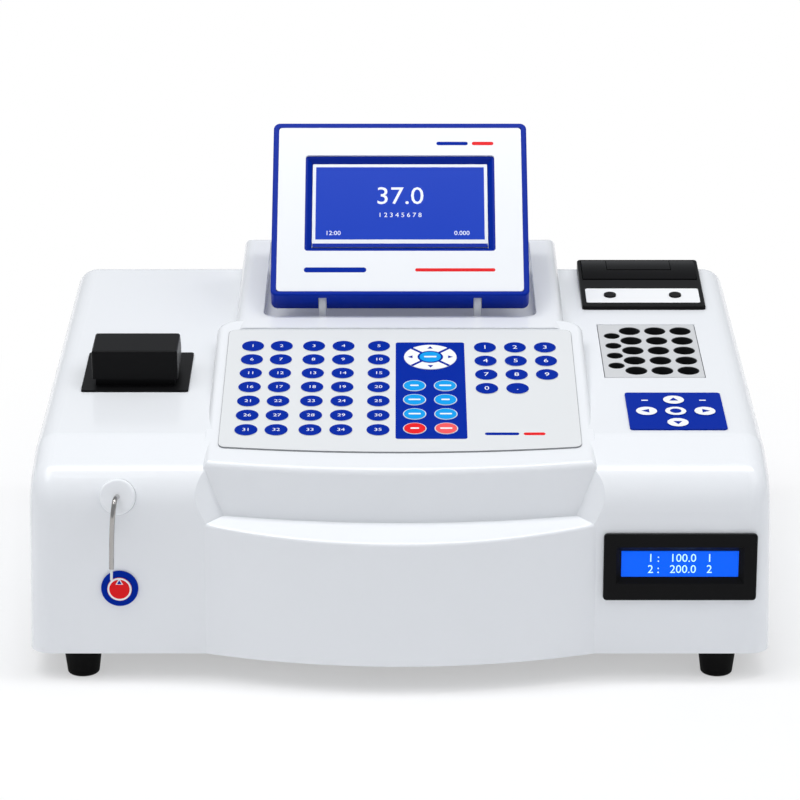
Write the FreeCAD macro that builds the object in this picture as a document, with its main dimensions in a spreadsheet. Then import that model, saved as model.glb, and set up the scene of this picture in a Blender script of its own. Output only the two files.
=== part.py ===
import FreeCAD, Part
import math
import os

import Sketcher

Vector = FreeCAD.Vector

# Driving dimensions, in millimetres and degrees. X runs right, Y runs back, Z runs up from the table.
SIZES = [
    # Moulded housing
    ("wall", 3.0, "thickness of the moulded housing"),
    ("foot_height", 15.0, "height of the rubber feet"),
    ("body_half_width", 204.75, "half the width of the housing at its bottom edge"),
    ("side_draft", 1.3, "lean of the two sides"),
    ("wing_front", -150.0, "front face of the two wings"),
    ("rear_face", 165.0, "rear face of the housing"),
    ("deck_height", 139.26, "height of the deck plane at Y = 0"),
    ("deck_slope", 5.0, "rise of the deck to the rear"),
    ("brow_break", -111.0, "where the deck turns down to the front"),
    ("brow_slope", 19.0, "rise of the deck in front of the break"),
    ("brow_round", 20.0, "radius along the break"),
    ("front_sweep", 26.0, "radius that sweeps the front face into the deck"),
    ("rear_round", 14.0, "radius between deck and rear face"),
    ("side_round", 12.5, "radius of the side edges"),
    # Console that carries the keypad
    ("console_half_width", 107.5, "half the width of the console"),
    ("console_height", 150.32, "height of the console plane at Y = 0"),
    ("console_slope", 11.0, "rise of the console to the rear"),
    ("console_back", 30.0, "rear edge of the console"),
    ("console_corner", 13.0, "plan radius of the console corners"),
    ("console_edge", 4.0, "radius along the top edge of the console"),
    ("lip_side", -139.5, "front wall of the console at its corners"),
    ("lip_sagitta", 9.0, "how far the front wall bows out at the middle"),
    # Hand rest and the bowed front below it
    ("rest_half_front", 107.3, "half the width of the hand rest at the front"),
    ("rest_half_back", 94.7, "half the width of the hand rest at its rear wall"),
    ("rest_draft", 25.0, "lean of the hand rest's side walls"),
    ("rest_height", 126.7, "height of the hand rest plane at Y = 0"),
    ("rest_slope", 13.5, "rise of the hand rest to the rear"),
    ("bow_half_width", 107.0, "half the width of the bowed front"),
    ("bow_sagitta", 19.5, "how far the bowed front stands out"),
    ("bow_edge", 2.0, "radius along the top of the bowed front"),
    # Tower behind the console, with the well for the screen
    ("tower_half_width", 97.5, "half the width of the tower"),
    ("tower_height", 152.7, "height of the tower plane at Y = 0"),
    ("tower_slope", 6.2, "rise of the tower to the rear"),
    ("tower_edge", 7.0, "radius along the top edge of the tower"),
    ("well_half_width", 81.0, "half the width of the screen well"),
    ("well_front", 33.0, "front wall of the screen well"),
    ("well_back", 158.5, "rear wall of the screen well"),
    ("well_floor", 146.0, "height of the well floor plane at Y = 0"),
    ("well_slope", 4.0, "rise of the well floor to the rear"),
    ("well_corner", 6.0, "corner radius of the well"),
    # Base pan, feet and screws
    ("pan_thickness", 2.5, "thickness of the base pan"),
    ("pan_gap", 0.5, "gap between pan and housing wall"),
    ("pan_rim", 9.0, "height of the pan's rim"),
    ("foot_inset", 28.75, "distance of the feet from the housing's sides"),
    ("foot_front", -139.0, "front feet"),
    ("foot_rear", 148.0, "rear feet"),
    ("foot_top_radius", 10.6, "radius of a foot at the pan"),
    ("foot_tread_radius", 8.7, "radius of a foot at the table"),
    ("foot_edge", 1.6, "rounded edge of the tread"),
    ("screw_radius", 2.0, "shank radius of the housing and foot screws"),
    ("screw_head_radius", 3.8, "head radius of the screws"),
    ("screw_head_height", 2.4, "head height of the screws"),
    ("boss_radius", 5.5, "radius of the screw bosses in the housing"),
    ("boss_height", 26.0, "height of the screw bosses above the pan"),
    ("boss_inset", 7.75, "distance of the screw bosses from the housing's sides"),
    # Keypads
    ("keypad_half_width", 100.0, "half the width of the keypad overlay"),
    ("keypad_rear", 12.5, "rear edge of the overlay, in plan"),
    ("keypad_front", -124.3, "front corners of the overlay, in plan"),
    ("keypad_sagitta", 6.0, "bow of the overlay's front edge"),
    ("keypad_corner", 4.0, "corner radius of the overlay"),
    ("overlay_thickness", 0.9, "thickness of the printed overlays"),
    ("key_radius", 6.5, "radius of a round key"),
    ("key_rise", 0.35, "embossed height of a key"),
    ("key_pitch", 16.72, "distance between key rows along the console"),
    ("test_row", -8.0, "first row of the test keys along the console"),
    ("test_column_1", -85.4, "first column of test keys"),
    ("test_column_2", -68.7, "second column of test keys"),
    ("test_column_3", -49.9, "third column of test keys"),
    ("test_column_4", -32.8, "fourth column of test keys"),
    ("test_column_5", -12.2, "fifth column of test keys"),
    ("number_column", 49.3, "first column of number keys"),
    ("number_pitch", 17.4, "distance between number columns"),
    ("number_row", -9.7, "first row of number keys along the console"),
    ("soft_column", 8.2, "first column of function keys"),
    ("soft_pitch", 17.5, "distance between function columns"),
    ("soft_row", -55.6, "first row of function keys along the console"),
    ("ring_x", 17.5, "centre of the arrow ring"),
    ("ring_row", -21.4, "centre of the arrow ring along the console"),
    ("ring_radius", 15.2, "outer radius of the arrow ring"),
    ("side_pad_x", 154.9, "centre of the blue side keypad"),
    ("side_pad_half_width", 27.1, "half the width of the side keypad"),
    ("side_pad_front", -105.3, "front edge of the side keypad"),
    ("side_pad_length", 53.0, "length of the side keypad along the deck"),
    ("side_key_pitch", 16.4, "distance between side keys"),
    ("side_key_radius", 6.0, "radius of a side key"),
    # Cell compartment on the left
    ("cell_x", -151.4, "centre of the cell compartment"),
    ("cell_plate_half_width", 30.6, "half the width of the black deck plate"),
    ("cell_plate_front", -50.0, "front edge of the deck plate"),
    ("cell_plate_length", 58.4, "length of the deck plate along the deck"),
    ("cell_plate_thickness", 2.6, "thickness of the deck plate"),
    ("cell_flange", 4.0, "rim of a deck plate that rests on the housing"),
    ("collar_height", 4.2, "height of the light collar on the plate"),
    ("collar_wall", 2.4, "wall of the light collar"),
    ("lid_half_width", 24.5, "half the width of the lid"),
    ("lid_setback", 5.5, "distance from the plate's front edge to the lid"),
    ("lid_height", 17.0, "height of the lid"),
    ("lid_top_length", 29.0, "length of the lid's flat top"),
    ("lid_wall", 2.4, "wall of the lid"),
    ("lid_axis", 46.0, "distance from the plate's front edge to the lid's hinge"),
    ("lid_barrel_radius", 3.6, "radius of the lid's hinge barrel"),
    ("lid_pin_radius", 1.5, "radius of the lid's hinge pin"),
    ("lid_barrel_half_length", 17.0, "half the length of the lid's hinge barrel"),
    ("hinge_play", 0.05, "radial play of a pin in its bore"),
    ("side_play", 0.4, "play beside a hinge barrel"),
    ("rest_play", 0.3, "play between a lid or door and its seat"),
    # Optical bench
    ("bench_height", 58.0, "height of the bench plate above the pan"),
    ("bench_thickness", 5.0, "thickness of the bench plate"),
    ("bench_half_width", 34.0, "half the width of the bench plate"),
    ("bench_front", -92.0, "front edge of the bench plate"),
    ("bench_back", 84.0, "rear edge of the bench plate"),
    ("beam_height", 25.0, "height of the light beam above the bench"),
    ("cell_y", -29.0, "centre of the flow cell"),
    ("cell_size", 12.5, "outer size of the flow cell"),
    ("cell_length", 40.0, "height of the flow cell"),
    ("holder_half_width", 19.0, "half the width of the cell holder"),
    ("holder_half_depth", 15.0, "half the depth of the cell holder"),
    ("holder_height", 48.0, "height of the cell holder"),
    ("beam_radius", 4.0, "radius of the beam bores"),
    ("lamp_front", 22.0, "front face of the lamp housing"),
    ("lamp_length", 52.0, "length of the lamp housing"),
    ("lamp_half_width", 22.0, "half the width of the lamp housing"),
    ("lamp_tube_radius", 11.0, "radius of the lamp housing's bore"),
    ("bulb_radius", 6.0, "radius of the halogen bulb"),
    ("filter_y", -58.0, "front face of the filter wheel"),
    ("filter_thickness", 5.0, "thickness of the filter wheel"),
    ("filter_radius", 24.0, "radius of the filter wheel"),
    ("filter_pitch_radius", 17.0, "radius of the circle of filters"),
    ("filter_hole_radius", 4.5, "radius of a filter"),
    ("filter_motor_radius", 12.0, "radius of the filter wheel's motor"),
    ("filter_motor_length", 24.0, "length of the filter wheel's motor"),
    ("spindle_radius", 2.0, "radius of the filter wheel's spindle"),
    # Aspirator
    ("aspirator_x", -153.8, "centre of the aspirator"),
    ("aspirator_slope", 71.0, "lean of the aspirator's axis out of the upright, in degrees"),
    ("aspirator_radius", 10.0, "radius of the aspirator boss"),
    ("aspirator_proud", 3.2, "how far the boss stands out"),
    ("needle_radius", 1.2, "outer radius of the needle"),
    ("needle_bore", 0.7, "inner radius of the needle"),
    ("needle_y", -166.0, "front run of the needle"),
    ("needle_bend", 7.0, "bend radius of the needle"),
    ("needle_tip", 71.0, "height of the needle's tip"),
    ("liner_tip", 65.0, "height of the tip of the plastic liner"),
    ("tube_radius", 2.0, "outer radius of the sample tube"),
    ("aspirate_height", 53.6, "height of the aspirate button"),
    ("aspirate_ring_radius", 10.2, "outer radius of the ring round the button"),
    ("aspirate_ring_proud", 1.6, "how far the ring stands out"),
    ("aspirate_button_radius", 6.7, "radius of the aspirate button"),
    ("button_play", 0.12, "radial play of a push button"),
    ("aspirate_travel", 1.0, "travel of the aspirate button"),
    ("stem_radius", 3.0, "radius of a button's stem"),
    # Front display
    ("front_lcd_x", 153.4, "centre of the front display"),
    ("front_lcd_half_width", 42.0, "half the width of its bezel"),
    ("front_lcd_bottom", 47.0, "lower edge of its bezel"),
    ("front_lcd_height", 38.5, "height of its bezel"),
    ("front_lcd_proud", 2.2, "how far the bezel stands out"),
    ("front_lcd_flange", 3.0, "rim of the bezel over the housing"),
    ("front_lcd_bevel", 3.0, "bevel round the bezel's window"),
    ("front_window_half_width", 32.2, "half the width of the window"),
    ("front_window_bottom", 59.8, "lower edge of the window"),
    ("front_window_height", 15.2, "height of the window"),
    # Incubator
    ("incubator_x", 147.2, "centre of the incubator block"),
    ("incubator_half_width", 28.8, "half the width of the block"),
    ("incubator_front", -27.5, "front edge of the block"),
    ("incubator_length", 83.8, "length of the block along the deck"),
    ("incubator_depth", 36.0, "depth of the block"),
    ("incubator_gap", 0.5, "gap between the block and the deck"),
    ("well_depth", 32.0, "depth of the sample wells"),
    ("sample_radius", 6.4, "radius of a sample well"),
    ("sample_column", 137.0, "first column of sample wells"),
    ("sample_row", 10.4, "first row of sample wells from the block's front edge"),
    ("sample_pitch_x", 15.1, "distance between sample columns"),
    ("sample_pitch_y", 15.75, "distance between sample rows"),
    ("reagent_radius", 4.8, "radius of a reagent well"),
    ("reagent_x", 126.0, "column of reagent wells"),
    ("reagent_row", 18.2, "first reagent well from the block's front edge"),
    ("heater_thickness", 1.5, "thickness of the heater mat"),
    ("stand_thickness", 2.0, "sheet thickness of the incubator stand"),
    # Printer
    ("printer_x", 148.2, "centre of the printer"),
    ("printer_half_width", 37.5, "half the width of the printer"),
    ("printer_front", 80.8, "front edge of the printer"),
    ("printer_length", 71.5, "length of the printer along the deck"),
    ("printer_lift", 2.4, "height of the printer's front rim over the deck"),
    ("printer_slope", 3.4, "slope of the printer's top against the deck"),
    ("printer_rim", 3.4, "rim of the printer over the housing"),
    ("printer_wall", 2.0, "wall of the paper bucket"),
    ("bucket_depth", 38.0, "depth of the paper bucket under the deck"),
    ("door_axis", 43.0, "distance from the printer's front edge to the door's hinge"),
    ("door_nose", 1.6, "how far the printer door stands out in front of its hinge"),
    ("door_swing", 1.8, "gap in front of the printer door, in which it swings"),
    ("door_crown", 1.8, "crown of the printer door"),
    ("door_thickness", 2.2, "thickness of the printer door"),
    ("door_pin_radius", 1.2, "radius of the door's hinge pins"),
    ("platen_radius", 3.2, "radius of the platen roller"),
    ("platen_back", 18.0, "distance from the door's hinge to the platen"),
    ("tab_half_width", 19.6, "half the width of the door's release tab"),
    ("printer_button_radius", 3.7, "radius of the printer's buttons"),
    ("printer_button_spread", 19.9, "distance of the buttons from the printer's centre"),
    ("printer_button_travel", 0.8, "travel of the printer's buttons"),
    ("fascia_front", 5.6, "lower edge of the white fascia from the printer's front edge"),
    ("fascia_length", 21.0, "length of the white fascia"),
    ("fascia_half_width", 34.6, "half the width of the white fascia"),
    ("fascia_thickness", 0.8, "thickness of the white fascia"),
    # Screen
    ("screen_lean", 45.5, "lean of the screen back from upright"),
    ("screen_y", 29.6, "lower front edge of the screen"),
    ("screen_z", 170.0, "height of the lower front edge of the screen"),
    ("screen_half_width", 76.6, "half the width of the screen"),
    ("screen_height", 120.6, "height of the screen along its face"),
    ("screen_depth", 18.0, "thickness of the screen"),
    ("screen_corner", 4.0, "corner radius of the screen"),
    ("screen_wall", 2.4, "wall of the screen's housing"),
    ("screen_split", 11.0, "depth of the screen's front frame"),
    ("face_half_width", 73.2, "half the width of the white face plate"),
    ("face_bottom", 2.8, "lower edge of the white face plate"),
    ("face_height", 114.1, "height of the white face plate"),
    ("face_thickness", 1.2, "thickness of the white face plate"),
    ("window_half_width", 56.9, "half the width of the screen's window"),
    ("window_bottom", 30.4, "lower edge of the screen's window"),
    ("window_height", 67.0, "height of the screen's window"),
    ("screen_bevel", 4.2, "bevel between the window and the display"),
    ("display_half_width", 50.3, "half the width of the display"),
    ("display_bottom", 38.1, "lower edge of the display"),
    ("display_height", 50.1, "height of the display"),
    ("screen_axis_up", 8.1, "height of the hinge axis in the screen"),
    ("screen_axis_in", 9.0, "depth of the hinge axis in the screen"),
    ("ear_x", 46.0, "distance of the hinge ears from the middle"),
    ("ear_half_thickness", 2.0, "half the thickness of a hinge ear"),
    ("ear_radius", 4.6, "radius of a hinge ear's eye"),
    ("screen_pin_radius", 2.0, "radius of the screen's hinge pins"),
    ("ear_play", 0.5, "play beside and round a hinge ear"),
    # Rear panel
    ("fan_x", -140.0, "centre of the fan"),
    ("fan_z", 72.0, "height of the fan's centre"),
    ("fan_half_size", 30.0, "half the size of the fan's frame"),
    ("fan_depth", 15.0, "depth of the fan"),
    ("fan_bore", 27.5, "radius of the fan's duct"),
    ("fan_hub", 12.0, "radius of the fan's hub"),
    ("fan_tip_gap", 1.0, "gap between the blades and the duct"),
    ("inlet_x", 150.0, "centre of the power inlet"),
    ("rocker_x", 112.0, "centre of the power switch"),
    ("inlet_z", 48.0, "height of the inlet and the switch"),
    ("panel_flange", 2.5, "thickness of a connector's flange outside the wall"),
    ("serial_x", 20.0, "centre of the serial port"),
    ("usb_x", -22.0, "centre of the USB port"),
    ("ports_z", 45.0, "height of the ports"),
    ("waste_x", -72.0, "centre of the waste outlet"),
    ("waste_tip", 169.5, "rear end of the waste outlet"),
    # Pump, boards and supply
    ("pump_x", -62.0, "centre of the pump"),
    ("pump_y", -112.0, "front face of the pump head"),
    ("pump_z", 46.0, "height of the pump's shaft"),
    ("pump_half_size", 23.0, "half the size of the pump head"),
    ("pump_depth", 18.0, "depth of the pump head"),
    ("pump_cavity", 18.0, "radius of the pump head's cavity"),
    ("pump_motor_radius", 17.0, "radius of the pump motor"),
    ("pump_motor_length", 42.0, "length of the pump motor"),
    ("pump_shaft_radius", 2.5, "radius of the pump shaft"),
    ("board_thickness", 1.6, "thickness of the circuit boards"),
    ("board_standoff", 8.0, "height of the circuit boards above the pan"),
    ("supply_height", 38.0, "height of the power supply"),
    ("supply_length", 94.0, "length of the power supply"),
    ("supply_inset", 14.55, "distance of the power supply from the housing's side"),
]


class Dim:
    """A size that knows its value and the sheet expression that it comes from."""

    def __init__(self, value, text):
        self.value = float(value)
        self.text = text

    def joined(self, sign, other, value):
        return Dim(value, f"({self.text} {sign} {dim(other).text})")

    def __add__(self, other):
        return self.joined("+", other, self.value + dim(other).value)

    def __sub__(self, other):
        return self.joined("-", other, self.value - dim(other).value)

    def __mul__(self, other):
        return self.joined("*", other, self.value * dim(other).value)

    def __truediv__(self, other):
        return self.joined("/", other, self.value / dim(other).value)

    def __radd__(self, other):
        return dim(other) + self

    def __rsub__(self, other):
        return dim(other) - self

    def __rmul__(self, other):
        return dim(other) * self

    def __neg__(self):
        return Dim(-self.value, f"(0 - {self.text})")


def dim(value):
    """A plain number becomes a size of its own."""
    return value if isinstance(value, Dim) else Dim(value, f"({value:.6g})")


def sine(angle):
    return Dim(math.sin(math.radians(angle.value)), f"sin({angle.text})")


def cosine(angle):
    return Dim(math.cos(math.radians(angle.value)), f"cos({angle.text})")


def tangent(angle):
    return Dim(math.tan(math.radians(angle.value)), f"tan({angle.text})")


def root(number):
    return Dim(math.sqrt(number.value), f"sqrt({number.text})")


def fill_sheet(document):
    """Write every driving dimension into the sheet and return them by name."""
    sheet = document.addObject("Spreadsheet::Sheet", "Sizes")
    for row, (alias, value, note) in enumerate(SIZES, start=1):
        sheet.set(f"A{row}", note)
        sheet.set(f"B{row}", str(value))
        sheet.setAlias(f"B{row}", alias)
    document.recompute()
    return {alias: Dim(sheet.get(alias), f"Sizes.{alias}") for alias, _, _ in SIZES}


class Sizes:
    """The sheet's sizes as attributes."""

    def __init__(self, table):
        self.__dict__.update(table)


doc = FreeCAD.newDocument("chemistry_analyzer")
S = Sizes(fill_sheet(doc))
NODES = {}


def node(label, shape_object):
    """Give a finished sub-part the name of its file."""
    shape_object.Label = label
    NODES[label] = shape_object
    return shape_object


def bind(target, prop, size):
    """Tie a property to the sheet."""
    target.setExpression(prop, dim(size).text)


class Frame:
    """Axes turned about X: v runs along the slope and w stands out of it."""

    def __init__(self, x=0, y=0, z=0, tilt=None):
        self.x, self.y, self.z = dim(x), dim(y), dim(z)
        self.tilt = tilt

    def point(self, x, v, w):
        x, v, w = dim(x), dim(v), dim(w)
        if self.tilt is None:
            return self.x + x, self.y + v, self.z + w
        side, rise = cosine(self.tilt), sine(self.tilt)
        return self.x + x, self.y + v * side - w * rise, self.z + v * rise + w * side


WORLD = Frame()


def place(target, frame, x=0, v=0, w=0, along="w"):
    """Stand an object in a frame, with its own Z along w, v or x."""
    spot = frame.point(x, v, w)
    base = Vector(*[size.value for size in spot])
    if along == "x":
        turn, angle = FreeCAD.Rotation(Vector(0, 1, 0), 90), None
    else:
        lean = dim(0) if frame.tilt is None else frame.tilt
        angle = lean - 90 if along == "v" else lean
        turn = FreeCAD.Rotation(Vector(1, 0, 0), angle.value)
    target.Placement = FreeCAD.Placement(base, turn)
    for axis, size in zip("xyz", spot):
        bind(target, f"Placement.Base.{axis}", size)
    if angle is not None and abs(angle.value) > 1e-9:
        bind(target, "Placement.Rotation.Angle", angle)
    return target


def box(name, frame, x, v, w):
    """A box between three pairs of limits in a frame."""
    solid = doc.addObject("Part::Box", name)
    bind(solid, "Length", dim(x[1]) - dim(x[0]))
    bind(solid, "Width", dim(v[1]) - dim(v[0]))
    bind(solid, "Height", dim(w[1]) - dim(w[0]))
    return place(solid, frame, x[0], v[0], w[0])


def rod(name, frame, x, v, w, radius, length, along="w"):
    """A cylinder that starts at a point and runs along one axis of a frame."""
    solid = doc.addObject("Part::Cylinder", name)
    bind(solid, "Radius", radius)
    bind(solid, "Height", length)
    return place(solid, frame, x, v, w, along)


def fuse(name, *parts):
    solid = doc.addObject("Part::MultiFuse", name)
    solid.Shapes = list(parts)
    solid.Refine = True
    return solid


def common(name, *parts):
    solid = doc.addObject("Part::MultiCommon", name)
    solid.Shapes = list(parts)
    solid.Refine = True
    return solid


def cut(name, base, *tools):
    solid = doc.addObject("Part::Cut", name)
    solid.Base = base
    solid.Tool = tools[0] if len(tools) == 1 else fuse(name + "_tools", *tools)
    solid.Refine = True
    return solid


def group(name, *parts):
    """Like pieces that share one node as separate solids."""
    solids = doc.addObject("Part::Compound", name)
    solids.Links = list(parts)
    return solids


def new_body(name, frame=WORLD, x=0, v=0, w=0, along="w"):
    body = doc.addObject("PartDesign::Body", name)
    place(body, frame, x, v, w, along)
    return body


def plane_of(body, role):
    return next(item for item in body.Origin.OriginFeatures if item.Role == role)


def add_corner(sketch, index, position, x, y):
    """Hold one end of a piece of outline at its place in the sheet."""
    for kind, size in (("DistanceX", x), ("DistanceY", y)):
        number = sketch.addConstraint(Sketcher.Constraint(kind, index, position, size.value))
        sketch.setExpression(f"Constraints[{number}]", size.text)


def add_outline(sketch, corners):
    """A closed outline. A corner with a radius starts an arc that bows outwards, or inwards if negative."""
    corners = [tuple(dim(item) for item in corner) for corner in corners]
    ends = []
    for corner, following in zip(corners, corners[1:] + corners[:1]):
        start = Vector(corner[0].value, corner[1].value, 0)
        end = Vector(following[0].value, following[1].value, 0)
        if len(corner) == 2:
            ends.append((sketch.addGeometry(Part.LineSegment(start, end), False), 1, 2))
            continue
        radius = abs(corner[2].value)
        inward = corner[2].value < 0
        chord = end - start
        across = Vector(-chord.y, chord.x, 0).normalize() * (-1 if inward else 1)
        centre = (start + end) / 2 + across * math.sqrt(radius ** 2 - (chord.Length / 2) ** 2)
        first, last = (end, start) if inward else (start, end)
        angles = [math.atan2((p - centre).y, (p - centre).x) for p in (first, last)]
        circle = Part.Circle(centre, Vector(0, 0, 1), radius)
        arc = sketch.addGeometry(Part.ArcOfCircle(circle, angles[0], angles[1]), False)
        size = -corner[2] if inward else corner[2]
        number = sketch.addConstraint(Sketcher.Constraint("Radius", arc, radius))
        sketch.setExpression(f"Constraints[{number}]", size.text)
        ends.append((arc, 2, 1) if inward else (arc, 1, 2))
    for (index, _, end), (following, start, _) in zip(ends, ends[1:] + ends[:1]):
        sketch.addConstraint(Sketcher.Constraint("Coincident", index, end, following, start))
    for (index, start, _), corner in zip(ends, corners):
        add_corner(sketch, index, start, corner[0], corner[1])


def add_circle(sketch, x, y, radius):
    x, y, radius = dim(x), dim(y), dim(radius)
    centre = Vector(x.value, y.value, 0)
    index = sketch.addGeometry(Part.Circle(centre, Vector(0, 0, 1), radius.value), False)
    number = sketch.addConstraint(Sketcher.Constraint("Radius", index, radius.value))
    sketch.setExpression(f"Constraints[{number}]", radius.text)
    add_corner(sketch, index, 3, x, y)


def draw(body, role, outlines=(), circles=(), offset=None):
    """A sketch on one of the body's own planes."""
    sketch = body.newObject("Sketcher::SketchObject", body.Name + "_sketch")
    sketch.AttachmentSupport = [(plane_of(body, role), "")]
    sketch.MapMode = "FlatFace"
    if offset is not None:
        bind(sketch, "AttachmentOffset.Base.z", offset)
    for corners in outlines:
        add_outline(sketch, corners)
    for circle in circles:
        add_circle(sketch, *circle)
    return sketch


def pad(body, sketch, length, symmetric=False, reverse=False):
    feature = body.newObject("PartDesign::Pad", body.Name + "_pad")
    feature.Profile = sketch
    bind(feature, "Length", length)
    feature.SideType = "Symmetric" if symmetric else "One side"
    feature.Reversed = reverse
    feature.Refine = True
    return feature


def pocket(body, sketch, length, symmetric=False, reverse=False):
    feature = body.newObject("PartDesign::Pocket", body.Name + "_pocket")
    feature.Profile = sketch
    bind(feature, "Length", length)
    feature.SideType = "Symmetric" if symmetric else "One side"
    feature.Reversed = reverse
    feature.Refine = True
    return feature


def round_edges(body, radius, chosen, kind="Fillet"):
    """Fillet or chamfer the edges of the body that a test picks."""
    doc.recompute()
    tip = body.Tip
    names = [f"Edge{i}" for i, edge in enumerate(tip.Shape.Edges, start=1) if chosen(edge)]
    if not names:
        raise ValueError(f"{body.Name}: no edge to round")
    feature = body.newObject(f"PartDesign::{kind}", f"{body.Name}_{kind.lower()}")
    feature.Base = (tip, names)
    bind(feature, "Radius" if kind == "Fillet" else "Size", radius)
    return feature


def revolve(body, sketch, axis="V_Axis"):
    feature = body.newObject("PartDesign::Revolution", body.Name + "_turned")
    feature.Profile = sketch
    feature.ReferenceAxis = (sketch, [axis])
    feature.Angle = 360
    return feature


def ends_of(edge):
    return [vertex.Point for vertex in edge.Vertexes]


def is_upright(edge):
    """A straight edge along the body's own Z."""
    points = ends_of(edge)
    if len(points) < 2:
        return False
    run = points[1] - points[0]
    return abs(run.z) > 0.99 * run.Length


def centred(middle, half):
    """The limits of a span about its middle."""
    return dim(middle) - half, dim(middle) + half


def arc_radius(half_chord, sagitta):
    """Radius of an arc from half its chord and its sagitta."""
    return (half_chord * half_chord + sagitta * sagitta) / (2 * sagitta)


# Planes that several pieces share
PAN_TOP = S.foot_height + S.pan_thickness
DECK_RISE = tangent(S.deck_slope)
BROW_RISE = tangent(S.brow_slope)
BROW_HEIGHT = S.deck_height + (DECK_RISE - BROW_RISE) * S.brow_break
CONSOLE_RISE = tangent(S.console_slope)
TOWER_RISE = tangent(S.tower_slope)
REST_RISE = tangent(S.rest_slope)
WELL_RISE = tangent(S.well_slope)


def deck_frame(x, y):
    """A frame on the sloping deck, with its origin at a plan position."""
    return Frame(x, y, S.deck_height + DECK_RISE * y, S.deck_slope)


CONSOLE = Frame(0, 0, S.console_height, S.console_slope)
SCREEN = Frame(0, S.screen_y, S.screen_z, -S.screen_lean)


def side_reach(z):
    """Half the width of the housing's sides at a height."""
    return S.body_half_width - (dim(z) - S.foot_height) * tangent(S.side_draft)


# Moulded housing. Each form is made twice: once as the outside, once drawn in by the wall as the hollow.
HEADROOM = 60
BELOW = 5


def wing_form(name, inset, bottom):
    """The full block: upright front, swept into the sloping deck, with drafted sides."""
    body = new_body(name)
    drop = inset / cosine(S.deck_slope)
    brow_drop = inset / cosine(S.brow_slope)
    front = S.wing_front + inset
    turn = S.brow_break + (brow_drop - drop) / (BROW_RISE - DECK_RISE)
    back = S.rear_face - inset
    profile = [
        (front, bottom),
        (back, bottom),
        (back, S.deck_height + DECK_RISE * back - drop),
        (turn, S.deck_height + DECK_RISE * turn - drop),
        (front, BROW_HEIGHT + BROW_RISE * front - brow_drop),
    ]
    pad(body, draw(body, "YZ_Plane", [profile]), 2 * S.body_half_width, symmetric=True)

    def top_edge(y):
        def chosen(edge):
            limits = edge.BoundBox
            level = abs(limits.YMin - y.value) < 0.01 and abs(limits.YMax - y.value) < 0.01
            return level and limits.ZMin > bottom.value + 1 and limits.ZLength < 0.01
        return chosen

    round_edges(body, S.brow_round - inset, top_edge(turn))
    round_edges(body, S.front_sweep - inset, top_edge(front))
    round_edges(body, S.rear_round - inset, top_edge(back))
    top = S.deck_height + HEADROOM
    low, high = side_reach(bottom) - inset, side_reach(top) - inset
    slivers = []
    for side in (1, -1):
        corners = [(side * low, bottom), (side * (low + HEADROOM), bottom),
                   (side * (low + HEADROOM), top), (side * high, top)]
        slivers.append(corners if side > 0 else corners[::-1])
    pocket(body, draw(body, "XZ_Plane", slivers), 4 * S.rear_face, symmetric=True)

    def side_edge(edge):
        limits = edge.BoundBox
        points = [edge.valueAt(edge.FirstParameter + part * edge.LastParameter
                               - part * edge.FirstParameter) for part in (0.0, 0.5, 1.0)]
        on_side = all(abs(abs(p.x) - (side_reach(p.z).value - inset.value)) < 0.02 for p in points)
        return on_side and limits.ZMax > bottom.value + 1

    round_edges(body, S.side_round - inset, side_edge)
    return body


def rest_tool(name, grow):
    """The space over the hand rest, with leaning sides, grown by a wall to keep the hollow clear of it."""
    body = new_body(name)
    front = S.wing_front - HEADROOM
    back = S.wing_front + HEADROOM
    flare = (S.rest_half_front - S.rest_half_back) / (S.lip_side - S.wing_front)
    lean = tangent(S.rest_draft)
    sill = S.rest_height + REST_RISE * S.lip_side
    low = S.rest_height - 2 * HEADROOM
    high = S.rest_height + HEADROOM

    def outline(height):
        lip = S.rest_half_back + lean * (height - sill) + grow * root(1 + flare * flare + lean * lean)
        wide = lip + flare * (S.lip_side - front)
        lip = lip - flare * grow
        edge = S.lip_side + grow
        return [(-wide, front), (wide, front), (lip, edge), (-lip, edge)]

    level = S.rest_height - grow / cosine(S.rest_slope)
    start = draw(body, "XY_Plane", [outline(sill - 4)], offset=sill - 4)
    end = draw(body, "XY_Plane", [outline(high)], offset=high)
    loft = body.newObject("PartDesign::AdditiveLoft", name + "_loft")
    loft.Profile = start
    loft.Sections = [(end, [""])]
    loft.Ruled = True
    triangle = [(front - 1, low - 1), (back + 1, low - 1), (back + 1, level + REST_RISE * (back + 1)),
                (front - 1, level + REST_RISE * (front - 1))]
    pocket(body, draw(body, "YZ_Plane", [triangle]), 4 * S.body_half_width, symmetric=True)
    return body


def bow_form(name, inset, bottom):
    """The bowed front under the hand rest."""
    body = new_body(name)
    radius = arc_radius(S.bow_half_width, S.bow_sagitta)
    half = S.bow_half_width - inset
    front = S.wing_front + inset
    inner = S.wing_front + HEADROOM
    outline = [(-half, front, radius - inset), (half, front), (half, inner), (-half, inner)]
    drop = inset / cosine(S.rest_slope)
    pad(body, draw(body, "XY_Plane", [outline], offset=bottom), S.rest_height - bottom)
    front_limit = S.wing_front - HEADROOM
    lid = [(front_limit, S.rest_height + REST_RISE * front_limit - drop),
           (inner + 1, S.rest_height + REST_RISE * (inner + 1) - drop),
           (inner + 1, S.rest_height + 1), (front_limit, S.rest_height + 1)]
    pocket(body, draw(body, "YZ_Plane", [lid]), 4 * S.body_half_width, symmetric=True)

    def rim(edge):
        middle = edge.valueAt((edge.FirstParameter + edge.LastParameter) / 2)
        plane = S.rest_height.value - drop.value + REST_RISE.value * middle.y
        return middle.y < S.wing_front.value - 1 and abs(middle.z - plane) < 0.01

    if inset.value == 0:
        round_edges(body, S.bow_edge, rim)
    return body


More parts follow.
